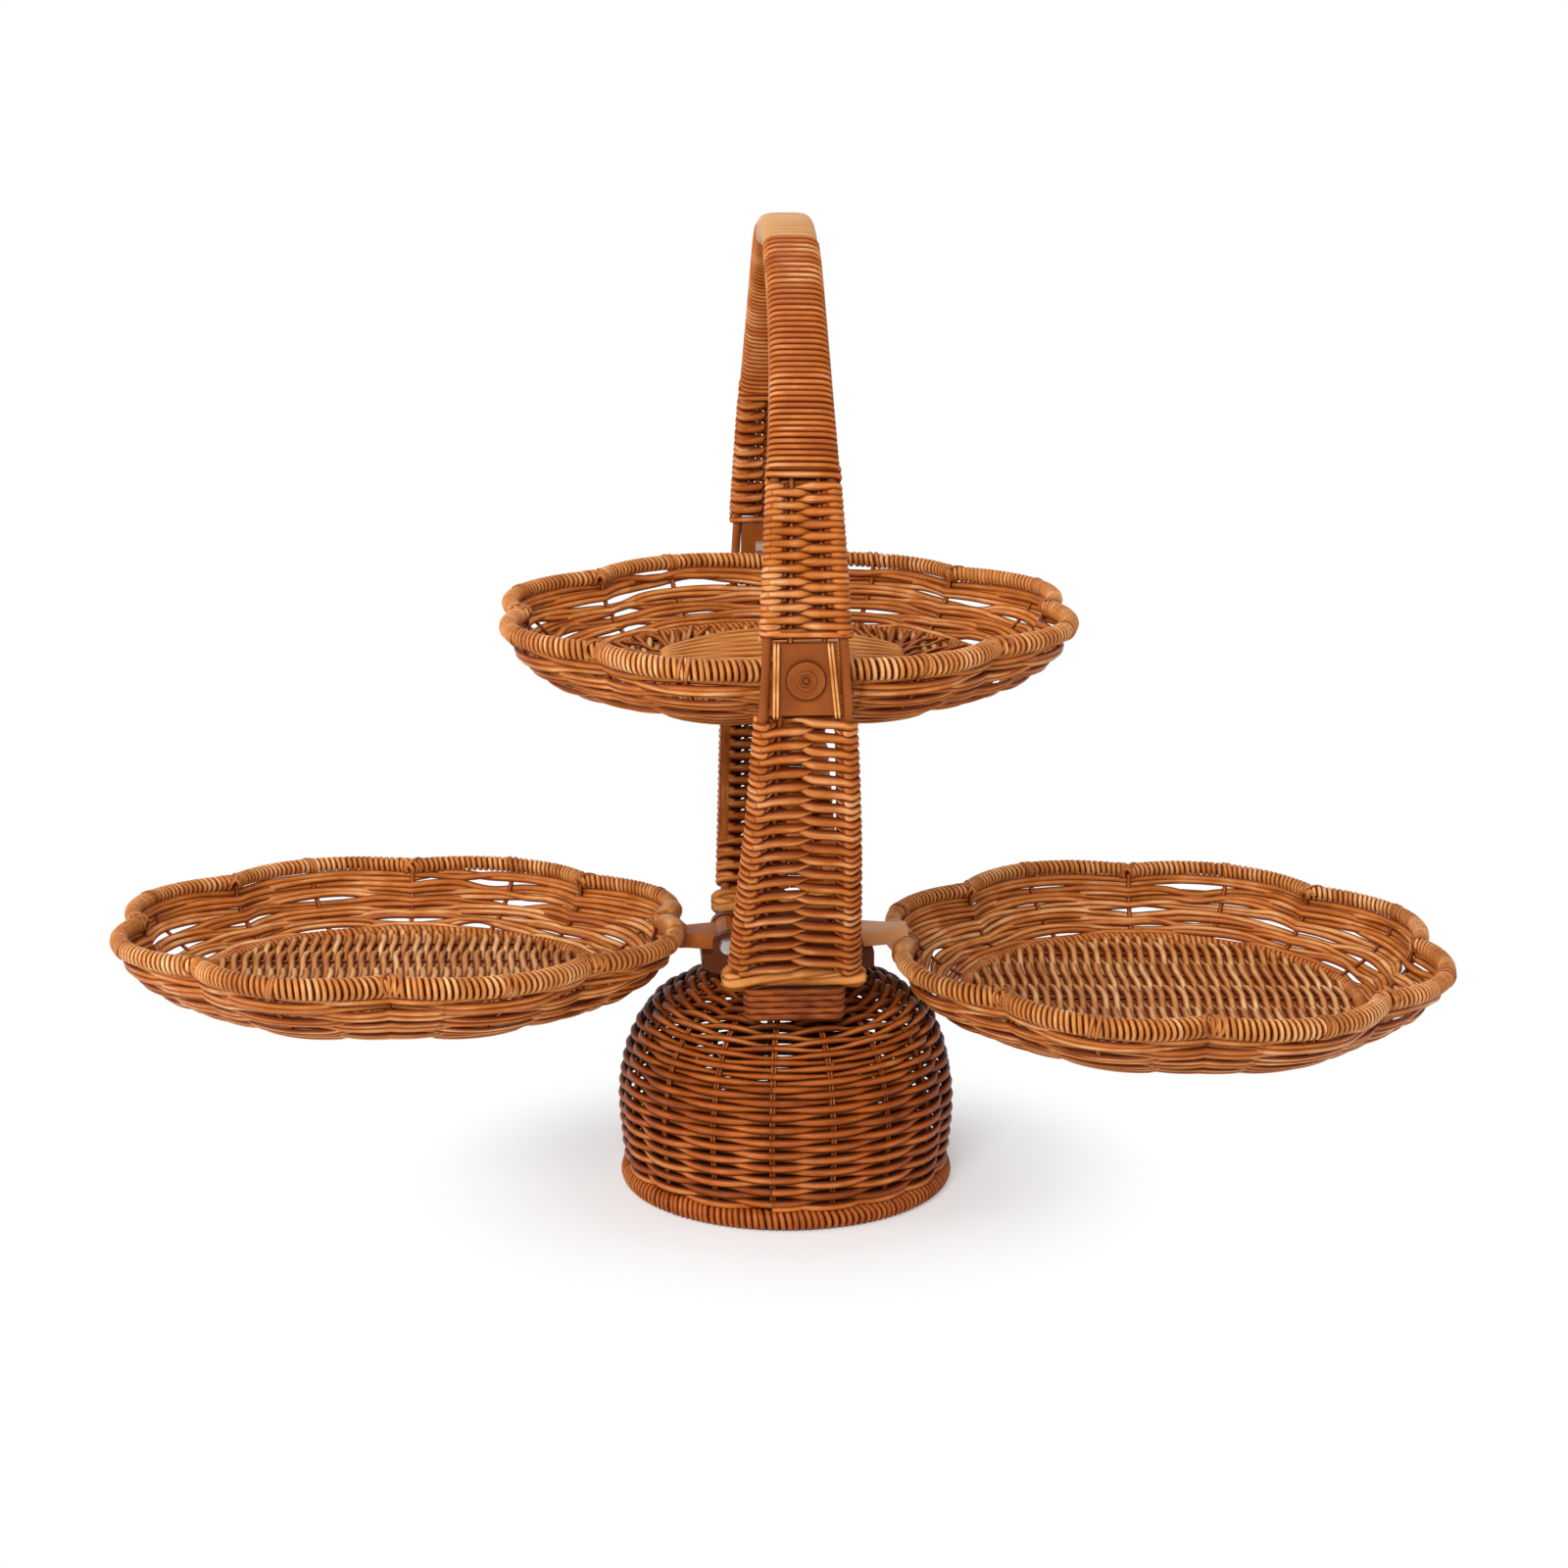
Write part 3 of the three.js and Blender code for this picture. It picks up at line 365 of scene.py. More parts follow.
stand = "pedestal_and_handle"
up_way = np.array([0.0, 0.0, 1.0])
turn = np.linspace(0, 2 * math.pi, 241) + math.pi / 2
foot_ring_line = ring_line(turn, foot_ring_radius, 0.006)
lean = 0.0010 + 0.0016 * np.clip(np.sin(5 * turn + 1), 0, 1) ** 2
strand, way = wound(foot_ring_line, up_way, 0.0034, 0.0045, lean=lean, seed=11, shake=0.00025)
fit(lay_strands("foot_ring_winding", [(strand, way, 0.7)], 0.0016, 0.00145),
    dark_cane, stand, "dark_cane", "foot_ring")
fit(lay_strands("foot_ring_rod", [(foot_ring_line, up_way, 0.2)], 0.0036, 0.0036, 10),
    core_cane, stand, "dark_cane")


# Dome.
# The pedestal is a bell of seventeen paired stakes, woven round and round with one strand over
# one pair and under the next. The number of pairs is odd, so each course crosses the last.
def eased(points, steps):
    points = np.asarray(points, float)
    before = np.vstack([2 * points[0] - points[1], points[:-1]])[:-1]
    here, there = points[:-1], points[1:]
    after = np.vstack([points[2:], 2 * points[-1] - points[-2]])
    share = (np.arange(steps) / steps)[None, :, None]
    before, here, there, after = (rows[:, None] for rows in (before, here, there, after))
    line = 0.5 * (
        2 * here
        + (there - before) * share
        + (2 * before - 5 * here + 4 * there - after) * share ** 2
        + (3 * here - before - 3 * there + after) * share ** 3
    )
    return np.vstack([line.reshape(-1, points.shape[1]), points[-1:]])


# A long strand is laid in stretches, so that each has a tone of its own.
def stretches(count, size):
    for start in range(0, count - 1, size):
        yield slice(start, min(count, start + size + 1))


# A wave with its crests made broader and blunter.
def blunt(wave, power):
    return np.sign(wave) * np.abs(wave) ** power


dome_radius = 0.091
dome_foot = 0.0115
dome_top = 0.121
dome_outline = eased([
    (0.968, 0), (0.99, 0.18), (1, 0.33), (0.99, 0.44), (0.95, 0.6), (0.88, 0.74),
    (0.76, 0.85), (0.6, 0.92), (0.46, 0.97), (0.3, 1),
], 8) * (dome_radius, dome_top - dome_foot) + (0, dome_foot)
dome_slope = unit(np.gradient(dome_outline, axis=0))
dome_outward = np.stack([dome_slope[:, 1], -dome_slope[:, 0]], -1)
dome_middle = dome_outline - dome_outward * 0.0021
dome_lengths = lengths_along(dome_middle)
stake_count = 17
first_stake = math.radians(-97.9)


def on_dome(turn, length, away):
    place = at_lengths(dome_middle, dome_lengths, length)
    outward = unit(at_lengths(dome_outward, dome_lengths, length))
    swell = 0.0009 * np.sin(math.pi * np.clip(length / dome_lengths[-1], 0, 1))
    place = place + outward * (away + swell)[:, None]
    points = np.stack([place[:, 0] * np.cos(turn), place[:, 0] * np.sin(turn), place[:, 1]], -1)
    ways = np.stack([outward[:, 0] * np.cos(turn), outward[:, 0] * np.sin(turn), outward[:, 1]], -1)
    return points, ways


course_pitch = 0.0035
steps_a_stake = 6
crossings = int((dome_lengths[-1] - 0.003) / course_pitch * stake_count) + stake_count
chance = np.random.default_rng(5)
step = np.arange(crossings * steps_a_stake + 1) / steps_a_stake
turn = first_stake + step * 2 * math.pi / stake_count
wave = blunt(np.cos(step * math.pi), 0.75)
length = 0.0008 + course_pitch * np.maximum(0.2, step / stake_count - 1)
top_share = np.clip((length / dome_lengths[-1] - 0.62) / 0.3, 0, 1)
knots = np.arange(crossings + 2)
length += np.interp(step, knots, chance.normal(0, 0.00022, len(knots)))
length += top_share * 0.0009 * np.maximum(wave, 0)
away = wave * (0.0022 + np.interp(step, knots, chance.normal(0, 0.00012, len(knots))))
# At the shoulder in front the strand is thinner, and light comes through between the courses.
loose = np.exp(-((length / dome_lengths[-1] - 0.62) / 0.12) ** 2) * (0.5 - 0.5 * np.sin(turn)) ** 2
slack = (1 - 0.26 * loose) * (1 + 0.16 * wave)
weft, way = on_dome(turn, length, away)
strands = []
for part in stretches(len(step), steps_a_stake * stake_count * 2):
    strands.append((weft[part], way[part], chance.uniform(0.2, 0.9), slack[part]))
fit(lay_strands("dome_weft", strands, 0.00185, 0.0014),
    dark_cane, stand, "dark_cane", "dome_weave")

stakes = []
for k in range(stake_count):
    for shift in (-0.00085, 0.00085):
        length = np.linspace(0, dome_lengths[-1], 40)
        radius = at_lengths(dome_middle, dome_lengths, length)[:, 0]
        turn = first_stake + 2 * math.pi * k / stake_count + shift / radius
        line, way = on_dome(turn, length, np.zeros(40))
        stakes.append((line, way, chance.uniform(0.2, 0.8)))
fit(lay_strands("dome_stakes", stakes, 0.0008, 0.0008), dark_cane, stand, "dark_cane")

# Under the handle's feet the ends of the hub's tongues are covered with five more strands,
# which bend back at the tongue's corners.
strands = []
tongue_half_width = 0.0262
x = np.linspace(-tongue_half_width, tongue_half_width, 41)
bend = np.clip((np.abs(x) - 0.0225) / (tongue_half_width - 0.0225), 0, 1) ** 2
for side in (-1, 1):
    for k in range(5):
        wave = np.cos(math.pi * x / 0.0088) * (-1) ** k
        y = side * (0.0806 + 0.0005 * wave - 0.006 * bend)
        line = np.stack([x, y, np.full(41, 0.1186 + 0.0034 * k)], -1)
        strands.append((line, np.array([0.0, side, 0.0]), chance.uniform(-0.1, 0.25)))
fit(lay_strands("tongue_cover", strands, 0.0019, 0.0012), dark_cane, stand, "dark_cane")


# Hub, hinges and arms.
# The hub is one moulding of brown plastic, bolted down on the dome with a plated washer inside.
# Two plated pins through its ears carry the moulded arms, which clasp the lower baskets' rims.
def moulded(name, colour, dark):
    finish = bpy.data.materials.new(name)
    finish.use_nodes = True
    nodes, links = finish.node_tree.nodes, finish.node_tree.links
    shader = nodes["Principled BSDF"]
    place = add(nodes, "TexCoord")
    clouds = add(nodes, "TexNoise", {"Scale": 60, "Detail": 4})
    pores = add(nodes, "TexNoise", {"Scale": 900})
    tint = add(nodes, "Mix", {"A": (*dark, 1), "B": (*colour, 1)}, data_type="RGBA")
    spread = add(nodes, "MapRange", {"From Min": 0.35, "From Max": 0.65})
    gloss = add(nodes, "MapRange", {"To Min": 0.5, "To Max": 0.38})
    relief = add(nodes, "Bump", {"Strength": 0.15, "Distance": 0.0003})
    links.new(place.outputs["Object"], clouds.inputs["Vector"])
    links.new(place.outputs["Object"], pores.inputs["Vector"])
    links.new(clouds.outputs["Fac"], spread.inputs["Value"])
    links.new(spread.outputs["Result"], tint.inputs["Factor"])
    links.new(clouds.outputs["Fac"], gloss.inputs["Value"])
    links.new(pores.outputs["Fac"], relief.inputs["Height"])
    links.new(tint.outputs["Result"], shader.inputs["Base Color"])
    links.new(gloss.outputs["Result"], shader.inputs["Roughness"])
    links.new(relief.outputs["Normal"], shader.inputs["Normal"])
    shader.inputs["Specular IOR Level"].default_value = 0.13
    return finish


def plated():
    finish = bpy.data.materials.new("plated_steel")
    finish.use_nodes = True
    nodes, links = finish.node_tree.nodes, finish.node_tree.links
    shader = nodes["Principled BSDF"]
    shader.inputs["Metallic"].default_value = 0.9
    place = add(nodes, "TexCoord")
    clouds = add(nodes, "TexNoise", {"Scale": 300})
    tint = add(nodes, "Mix", {
        "A": (0.42, 0.39, 0.35, 1), "B": (0.66, 0.63, 0.58, 1)}, data_type="RGBA")
    gloss = add(nodes, "MapRange", {"To Min": 0.28, "To Max": 0.45})
    links.new(place.outputs["Object"], clouds.inputs["Vector"])
    links.new(clouds.outputs["Fac"], tint.inputs["Factor"])
    links.new(clouds.outputs["Fac"], gloss.inputs["Value"])
    links.new(tint.outputs["Result"], shader.inputs["Base Color"])
    links.new(gloss.outputs["Result"], shader.inputs["Roughness"])
    return finish


def give(finish, *names):
    for name in names:
        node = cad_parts[name]
        if node.material_slots:
            node.material_slots[0].material = finish
        else:
            node.data.materials.append(finish)


brown_plastic = moulded("brown_plastic", (0.11, 0.024, 0.004), (0.06, 0.012, 0.002))
light_plastic = moulded("light_plastic", (0.37, 0.098, 0.011), (0.26, 0.06, 0.006))
pale_plastic = moulded("pale_plastic", (0.78, 0.38, 0.17), (0.62, 0.27, 0.10))
golden_plastic = moulded("golden_plastic", (0.26, 0.064, 0.009), (0.19, 0.042, 0.005))
grey_plastic = moulded("grey_plastic", (0.42, 0.33, 0.26), (0.3, 0.22, 0.17))
steel = plated()
give(brown_plastic, "hub")
give(light_plastic, "left_arm")
give(pale_plastic, "right_arm")
give(steel, "clamp_washer", "clamp_bolt", "left_hinge_pin", "right_hinge_pin")


# Handle's legs.
# Each leg is two flat edge posts and two round stakes, plaited with one strand that turns twice
# round each post before it crosses back. The plait stops at the pivot, where the posts are bare.
pivot_height = 0.3215
arch_reach = 0.170
arch_rise = 0.204
leg_bend = math.radians(38)
leg_foot = 0.1436
grip_start = 0.421
bend_drop = arch_reach * math.sin(leg_bend)


def arch_at(height):
    rise = np.asarray(height, float) - pivot_height
    drop = -rise
    above = arch_reach * np.sqrt(np.maximum(0, 1 - (rise / arch_rise) ** 2))
    below = np.sqrt(np.maximum(0, arch_reach ** 2 - np.minimum(drop, bend_drop) ** 2))
    below = below - np.maximum(0, drop - bend_drop) * math.tan(leg_bend)
    out = np.where(rise > 0, above, below)
    lean = np.arcsin(np.clip(drop, 0, bend_drop) / arch_reach)
    upper = unit(np.stack([out / arch_reach ** 2, rise / arch_rise ** 2], -1))
    lower = np.stack([np.cos(lean), -np.sin(lean)], -1)
    return out, np.where((rise > 0)[..., None], upper, lower)


def on_leg(side, height, x, away):
    out, outward = arch_at(height)
    points = np.stack([
        x, side * (out + away * outward[:, 0]), height + away * outward[:, 1]], -1)
    ways = np.stack([np.zeros(len(height)), side * outward[:, 0], outward[:, 1]], -1)
    return points, ways


leg_heights = np.linspace(0.139, 0.43, 400)


# The turns of the plait are laid at even heights as they are seen from the front.
def seen_height(side, height):
    out, outward = arch_at(height)
    across, up = side * math.sin(camera_rise), math.cos(camera_rise)
    return out * across + height * up, -outward[..., 0] * across - outward[..., 1] * up


def post_edge(height):
    share = (height - leg_foot) / (grip_start - leg_foot)
    return 0.033 + (0.0164 - 0.033) * share


# The plait's places across the leg, as shares of its half width: where the short turns round
# each post end, and where the two stakes stand.
lower_shares = (-0.64, -0.54, 0.665, 0.63)
upper_shares = (-0.50, -0.36, 0.44, 0.55)


def plait(side, low, high, shares, pitch, open_slots, rise, seed):
    chance = np.random.default_rng(seed)
    seen, _ = seen_height(side, leg_heights)
    first, last = np.interp([low, high], leg_heights, seen)
    periods = round((last - first) / (2 * pitch))
    pitch = (last - first) / (2 * periods)
    # Across, places are shares of the leg's half width. Over and under are how far the strand
    # stands off the leg's middle at a post, and outer and inner at a stake.
    edge, post = 1.035, 0.89
    over, under = 0.0043, -0.0043
    outer, inner, between_stakes = 0.0032, -0.0028, 0.0027
    left_end, left_stake, right_stake, right_end = shares
    left_turn, right_turn = (left_end - post) / 2, (right_end + post) / 2
    knots = []
    for k in range(periods):
        # What runs behind a stake is shifted by what the view from above makes of the leg's
        # depth, so that it shows between the front strands or, where the plait is open, hides.
        height = np.interp(first + (2 * k + 1) * pitch, seen, leg_heights)
        _, slope = seen_height(side, height)
        hidden = 0.006 / pitch * slope * (1 if side < 0 else 0.3 if low < 0.3 else 0)
        right_under = (1.12 if open_slots else 0.12) - hidden
        left_under = (1 if side > 0 and low > 0.3 else 1.3) - hidden
        left_under += 2 * (left_under < 0.25)
        # Place across, how far off, lift in pitches and swell: from the left post over to the
        # right one, a short turn round it, back under to the left post, a short turn round that.
        way_round = [
            (-post, over, 0, 1.12), (left_stake, outer, rise * 0.3, 1.25),
            (-0.14, between_stakes, rise * 0.4, 1.38), (0.10, 0.0006, rise * 0.3, 0.75),
            (0.25, -0.0024, 0.2 * rise + right_under * 0.93, 0.85),
            (right_stake, inner, right_under, 1), (post, under, -0.05, 1), (edge, 0.0, -0.02, 1),
            (post, over, 0, 1), (right_turn, over * 0.8, 0.05, 1), (right_end, 0.0, 0.2, 0.9),
            (right_turn, under * 0.8, 0.4, 1), (post, under, 0.5, 1), (edge, 0.0, 0.8, 1),
            (post, over, 1, 1.12), (right_stake, outer, 1 + rise * 0.2, 1.3),
            (0.15, between_stakes, 1 + rise * 0.5, 1.38), (-0.15, 0.0003, 1 + rise * 0.8, 0.75),
            (left_stake, inner, left_under, 1.2), (-post, under, 0.93, 1), (-edge, 0.0, 0.97, 1),
            (-post, over, 1, 1.12), (left_turn, over * 0.8, 1.05, 1.1), (left_end, 0.0, 1.2, 0.9),
            (left_turn, under * 0.8, 1.4, 1), (-post, under, 1.5, 1), (-edge, 0.0, 1.8, 1),
        ]
        shift = chance.normal(0, 0.05, 2)
        broad = (1 + 0.2 * slope ** 2) * (1 if side < 0 else 1.2)
        for share, away, lift, swell in way_round:
            lift = lift + shift[0] * (share > 0) + shift[1] * (share < 0)
            knots.append((share, away, first + (2 * k + lift) * pitch, swell * broad))
    steps = 4
    line = eased(knots, steps)
    height = np.interp(np.clip(line[:, 2], first, last), seen, leg_heights)
    x = line[:, 0] * (post_edge(height) + 0.0004)
    points, _ = on_leg(side, height, x, line[:, 1])
    inward, _ = on_leg(side, height, line[:, 0] * 0.72 * post_edge(height), np.zeros(len(line)))
    facing = unit(points - inward)
    strands = []
    for part in stretches(len(points), len(way_round) * steps):
        strands.append((points[part], facing[part], chance.uniform(0.4, 0.85), line[part, 3]))
    return strands


# A few plain turns close the plait against the grip and the pivot's window.
def plain_turns(side, low, count, pitch, tone):
    phase = np.linspace(0, 2 * math.pi * count, 28 * count + 1) + math.pi
    height = low + pitch * (phase - math.pi) / (2 * math.pi)
    x = blunt(np.cos(phase), 0.45) * (post_edge(height) + 0.0012)
    away = blunt(np.sin(phase), 0.45) * 0.0043
    points, _ = on_leg(side, height, x, away)
    inward, _ = on_leg(side, height, x * 0.72, np.zeros(len(x)))
    return [(points, unit(points - inward), tone)]


def round_stakes(side, low, high, shares):
    height = np.linspace(low, high, 40)
    stakes = []
    for share in shares[1:3]:
        line, way = on_leg(side, height, share * post_edge(height), np.zeros(40))
        stakes.append((line, way, 0.4))
    return stakes


window_low, window_high = 0.3024, 0.3404
for label, side, seed in (("front", -1, 21), ("rear", 1, 31)):
    lower = plait(
        side, 0.1455, 0.3020, lower_shares, 0.0035, side < 0, 0.9 if side < 0 else 0.25, seed)
    upper = plait(side, 0.3450, 0.4165, upper_shares, 0.0032, False, 0.15, seed + 1)
    upper += plain_turns(side, 0.3418, 1, 0.0032, 0.6) + plain_turns(side, 0.4165, 2, 0.0034, 0.7)
    for part, strands in (("lower", lower), ("upper", upper)):
        fit(lay_strands(f"{label}_{part}_plait", strands, 0.00168, 0.00135),
            orange_cane, stand, "woven_cane", f"{label}_{part}_leg")
    for part, low, high, shares in (
        ("lower", 0.142, 0.303, lower_shares), ("upper", 0.340, 0.4235, upper_shares),
    ):
        stakes = round_stakes(side, low, high, shares)
        fit(lay_strands(f"{label}_{part}_stakes", stakes, 0.0014, 0.0014, 8),
            dark_cane, stand, "woven_cane")

    # At the pivot the stakes come forward in pairs, one pair upright and one leaning.
    height = np.linspace(window_low, window_high, 20)
    ends = np.ones(20)
    ends[[0, -1]] = 0.55
    for hand, foot_x, head_x in (("left", -0.0150, -0.0146), ("right", 0.0157, 0.0118)):
        pair = []
        for shift in (-0.00085, 0.00085):
            share = (height - window_low) / (window_high - window_low)
            x = foot_x + shift + (head_x - foot_x) * share
            line = np.stack([x, np.full(20, side * 0.1732), height], -1)
            pair.append((line, np.array([0.0, side, 0.0]), 0.7, ends))
        fit(lay_strands(f"{label}_{hand}_pair", pair, 0.00092, 0.0013, 8),
            rim_cane, stand, "cane", f"{label}_{hand}_stick")

    # The flat edge posts run the leg's whole length, rounded at their corners.
    height = np.linspace(0.1425, 0.4215, 60)
    for hand, way in (("left", -1), ("right", 1)):
        line, out = on_leg(side, height, way * (post_edge(height) - 0.0025), np.zeros(60))
        fit(lay_strands(f"{label}_{hand}_flat_post", [(line, out, 0.45)], 0.00245, 0.0029, 12),
            golden_plastic, stand, "brown_plastic", f"{label}_{hand}_post")

# One post of the rear leg is left bare of winding along its inner edge.
height = np.linspace(0.166, 0.268, 40)
bare, way = on_leg(1, height, 0.0013 - post_edge(height), np.full(40, -0.0052))
fit(lay_strands("rear_bare_post", [(bare, -way, 0.45)], 0.0029, 0.0009, 8),
    orange_cane, stand, "woven_cane")

give(golden_plastic, "front_pivot_plate", "rear_pivot_plate", "front_pivot_lug")
give(grey_plastic, "rear_pivot_lug")

# The caps are moulded with turned rings and a small dimple in the middle, drawn as rings of colour:
# the darker bands are painted shade in the grooves and the dimple, the brighter ones painted
# highlights on the ridges.
cap_plastic = moulded("cap_plastic", (0.27, 0.068, 0.010), (0.20, 0.045, 0.006))
nodes, links = cap_plastic.node_tree.nodes, cap_plastic.node_tree.links
place = add(nodes, "TexCoord")
from_middle = add(nodes, "VectorMath", {1: (0, 0, pivot_height)}, operation="SUBTRACT")
flat = add(nodes, "VectorMath", {1: (100, 0, 100)}, operation="MULTIPLY")
reach = add(nodes, "VectorMath", operation="LENGTH")
ring_shade_and_highlight = add(nodes, "ValToRGB")
ring_shade_and_highlight.color_ramp.elements.remove(ring_shade_and_highlight.color_ramp.elements[1])
ring_shade_and_highlight.color_ramp.elements[0].color = (1, 1, 1, 1)
for at, level in (
    (0.10, 1), (0.13, 0.25), (0.2, 0.25), (0.23, 1.25), (0.3, 1), (0.5, 1),
    (0.53, 0.55), (0.58, 1.1), (0.62, 1), (0.86, 1), (0.92, 1.3), (0.95, 0.4),
):
    ring_shade_and_highlight.color_ramp.elements.new(at).color = (level, level, level, 1)
ringed = add(nodes, "Mix", data_type="RGBA", blend_type="MULTIPLY")
ringed.inputs["Factor"].default_value = 1
shader = nodes["Principled BSDF"]
links.new(shader.inputs["Base Color"].links[0].from_socket, ringed.inputs["A"])
links.new(place.outputs["Object"], from_middle.inputs[0])
links.new(from_middle.outputs[0], flat.inputs[0])
links.new(flat.outputs[0], reach.inputs[0])
links.new(reach.outputs["Value"], ring_shade_and_highlight.inputs["Fac"])
links.new(ring_shade_and_highlight.outputs["Color"], ringed.inputs["B"])
links.new(ringed.outputs["Result"], shader.inputs["Base Color"])
give(cap_plastic, "front_pivot_cap", "rear_pivot_cap")


# Foot wraps.
# Where a leg meets the hub's tongue, its stakes are bound to the tongue's end with broad tan
# strands laid in long turns both ways round the bar, so that they cross like a plait.
for label, side in (("front", -1), ("rear", 1)):
    across = np.linspace(-0.0378, 0.0378, 61)
    bar = np.stack([across, np.full(61, side * 0.0726), np.full(61, 0.1383)], -1)
    flare = 0.84 + 0.50 * np.exp(-((across + 0.030) / 0.011) ** 2)
    flare += 0.20 * np.exp(-((across - 0.034) / 0.01) ** 2)
    flare *= np.sqrt(1 - 0.8 * np.clip((np.abs(across) - 0.0328) / 0.005, 0, 1) ** 2)
    fit(lay_strands(label + "_foot_bar", [(bar, up_way, 0.55, flare)], 0.0050, 0.0046, 16),
        tan_cane, stand, "cane", label + "_foot_wrap")
    strands = []
    for k in range(4):
        for hand in (-1, 1):
            phase = 2 * math.pi * (k / 4 + 0.1 * hand + hand * np.linspace(-0.16, 0.16, 61))
            way = np.stack([np.zeros(61), np.sin(phase) * 1.1, np.cos(phase)], -1)
            reach = (0.0046 + 0.0003 * hand) * flare
            strands.append((bar + way * reach[:, None], way, 0.5 + 0.1 * k))
    fit(lay_strands(label + "_foot_binding", strands, 0.0030, 0.0009, 8),
        tan_cane, stand, "cane")


# Grip.
# The handle's bow is a flat bar with one strand wound round it, turn against turn, about a
# hundred times. It narrows a little towards the top, where the winding lies smoother, and its
# paler colour there is a painted highlight of the light from above.
grip_from = math.asin((grip_start - pivot_height) / arch_rise)
bow = np.linspace(grip_from + 0.006, math.pi - grip_from - 0.006, 400)
bow_line = np.stack([
    np.zeros(400), -arch_reach * np.cos(bow), pivot_height + arch_rise * np.sin(bow)], -1)
bow_out = unit(np.stack([np.zeros(400), -np.cos(bow) / arch_reach, np.sin(bow) / arch_rise], -1))
bow_lengths = lengths_along(bow_line)
# The turns lie closest on the bow's upright parts and broaden towards its top.
closest_pitch = 0.0029
bow_seen = bow_line[:, 2] * math.cos(camera_rise) - np.abs(bow_line[:, 1]) * math.sin(camera_rise)
bow_pitch = closest_pitch / np.maximum(0.64, np.abs(np.gradient(bow_seen, bow_lengths)))
bow_steps = np.diff(bow_lengths) * 2 / (bow_pitch[1:] + bow_pitch[:-1])
bow_turns = np.concatenate([[0], np.cumsum(bow_steps)])
grip_turns = int(bow_turns[-1])
steps_a_turn = 20
step = np.arange(grip_turns * steps_a_turn + 1) / steps_a_turn
phase = 2 * math.pi * step
chance = np.random.default_rng(41)
length = np.interp(step * bow_turns[-1] / grip_turns, bow_turns, bow_lengths)
knots = np.arange(grip_turns + 2)
length = length + np.interp(step, knots, chance.normal(0, 0.00012, len(knots)))
length = np.clip(length, 0, bow_lengths[-1])
angle = np.interp(length, bow_lengths, bow)
climb = (np.sin(angle) - math.sin(grip_from)) / (1 - math.sin(grip_from))
broad = np.interp(length, bow_lengths, bow_pitch) / closest_pitch
half_strand = 0.0014
grip_half_width = 0.0139 + 0.0044 * np.clip(1 - climb, 0, 1) ** 1.7 - half_strand
grip_half_depth = 0.0079 - half_strand
corner = 0.5
x_way, y_way = np.cos(phase), np.sin(phase)
x = grip_half_width * blunt(x_way, corner)
out = grip_half_depth * blunt(y_way, corner)
middle = at_lengths(bow_line, bow_lengths, length)
outward = unit(at_lengths(bow_out, bow_lengths, length))
right_way = np.array([1.0, 0, 0])
points = middle + x[:, None] * right_way + out[:, None] * outward
face_x = blunt(x_way, 2 - corner) / grip_half_width
face_out = blunt(y_way, 2 - corner) / grip_half_depth
facing = unit(face_x[:, None] * right_way + face_out[:, None] * outward)
# The crown's cane is paler, and paler still towards the top: a painted highlight of the light from
# above.
crown_painted_highlight = cane("crown_painted_highlight", (0.50, 0.275, 0.125), (0.42, 0.18, 0.05), (0.54, 0.35, 0.19))
crown_from = 0.955
strands, crown = [], []
for part in stretches(len(points), steps_a_turn * 2):
    painted_highlight_rise = climb[part].mean() - crown_from
    if painted_highlight_rise > 0:
        crown.append((points[part], facing[part], 0.3 + 12 * painted_highlight_rise, broad[part]))
    else:
        strands.append((points[part], facing[part], chance.uniform(0.4, 0.8), broad[part]))
fit(lay_strands("grip_cane", strands, 0.00134, half_strand),
    orange_cane, stand, "cane", "grip_winding")
fit(lay_strands("grip_crown", crown, 0.00155, 0.0010), crown_painted_highlight, stand, "cane")
give(core_cane, "grip_core")


# Baskets.
# Three alike baskets: a rod bent into eight scallops and wound with one strand, a low wall of
# doubled strands woven over and under stakes, a wound ring below and a plaited floor in it.
valley_radius = 0.1405
lobe_depth = 0.0145
basket_depth = 0.036
stake_step = math.radians(22.5)


def lobe(turn):
    return np.abs(np.sin(4 * turn)) ** 0.8


def set_in(strands, basket):
    _, centre, pitch, roll = basket
    cp, sp, cr, sr = math.cos(pitch), math.sin(pitch), math.cos(roll), math.sin(roll)
    pitched = np.array([[1, 0, 0], [0, cp, -sp], [0, sp, cp]])
    rolled = np.array([[cr, 0, sr], [0, 1, 0], [-sr, 0, cr]])
    turned = (pitched @ rolled).T
    return [(path @ turned + centre, way @ turned, *rest) for path, way, *rest in strands]


# Down the wall's slope: the share of the slope, the depth, and the valleys' and the lobes' shares.
wall_stations = np.array([
    (0.0, 0.164, 1.0, 0.96), (0.24, 0.42, 0.977, 0.82),
    (0.63, 0.74, 0.91, 0.45), (1.0, 0.944, 0.829, 0.08)])
wall_slope = 0.043


def on_wall(turn, share, away):
    turn, share = np.broadcast_arrays(turn, share)

    def surface(turn, share):
        over = np.maximum(0, share - 1)
        under = np.minimum(0, share)
        depth, width, lobes = (
            np.interp(share, wall_stations[:, 0], wall_stations[:, k]) for k in (1, 2, 3))
        radius = valley_radius * width + lobe_depth * lobes * lobe(turn) - 0.0017 - 0.035 * over
        level = -(depth + under + over) * basket_depth
        return np.stack([radius * np.cos(turn), radius * np.sin(turn), level], -1)

    points = surface(turn, share)
    down = surface(turn, share + 0.04) - surface(turn, share - 0.04)
    round_way = surface(turn + 0.01, share) - surface(turn - 0.01, share)
    facing = unit(np.cross(down, round_way))
    return points + facing * np.broadcast_to(away, turn.shape)[:, None], facing


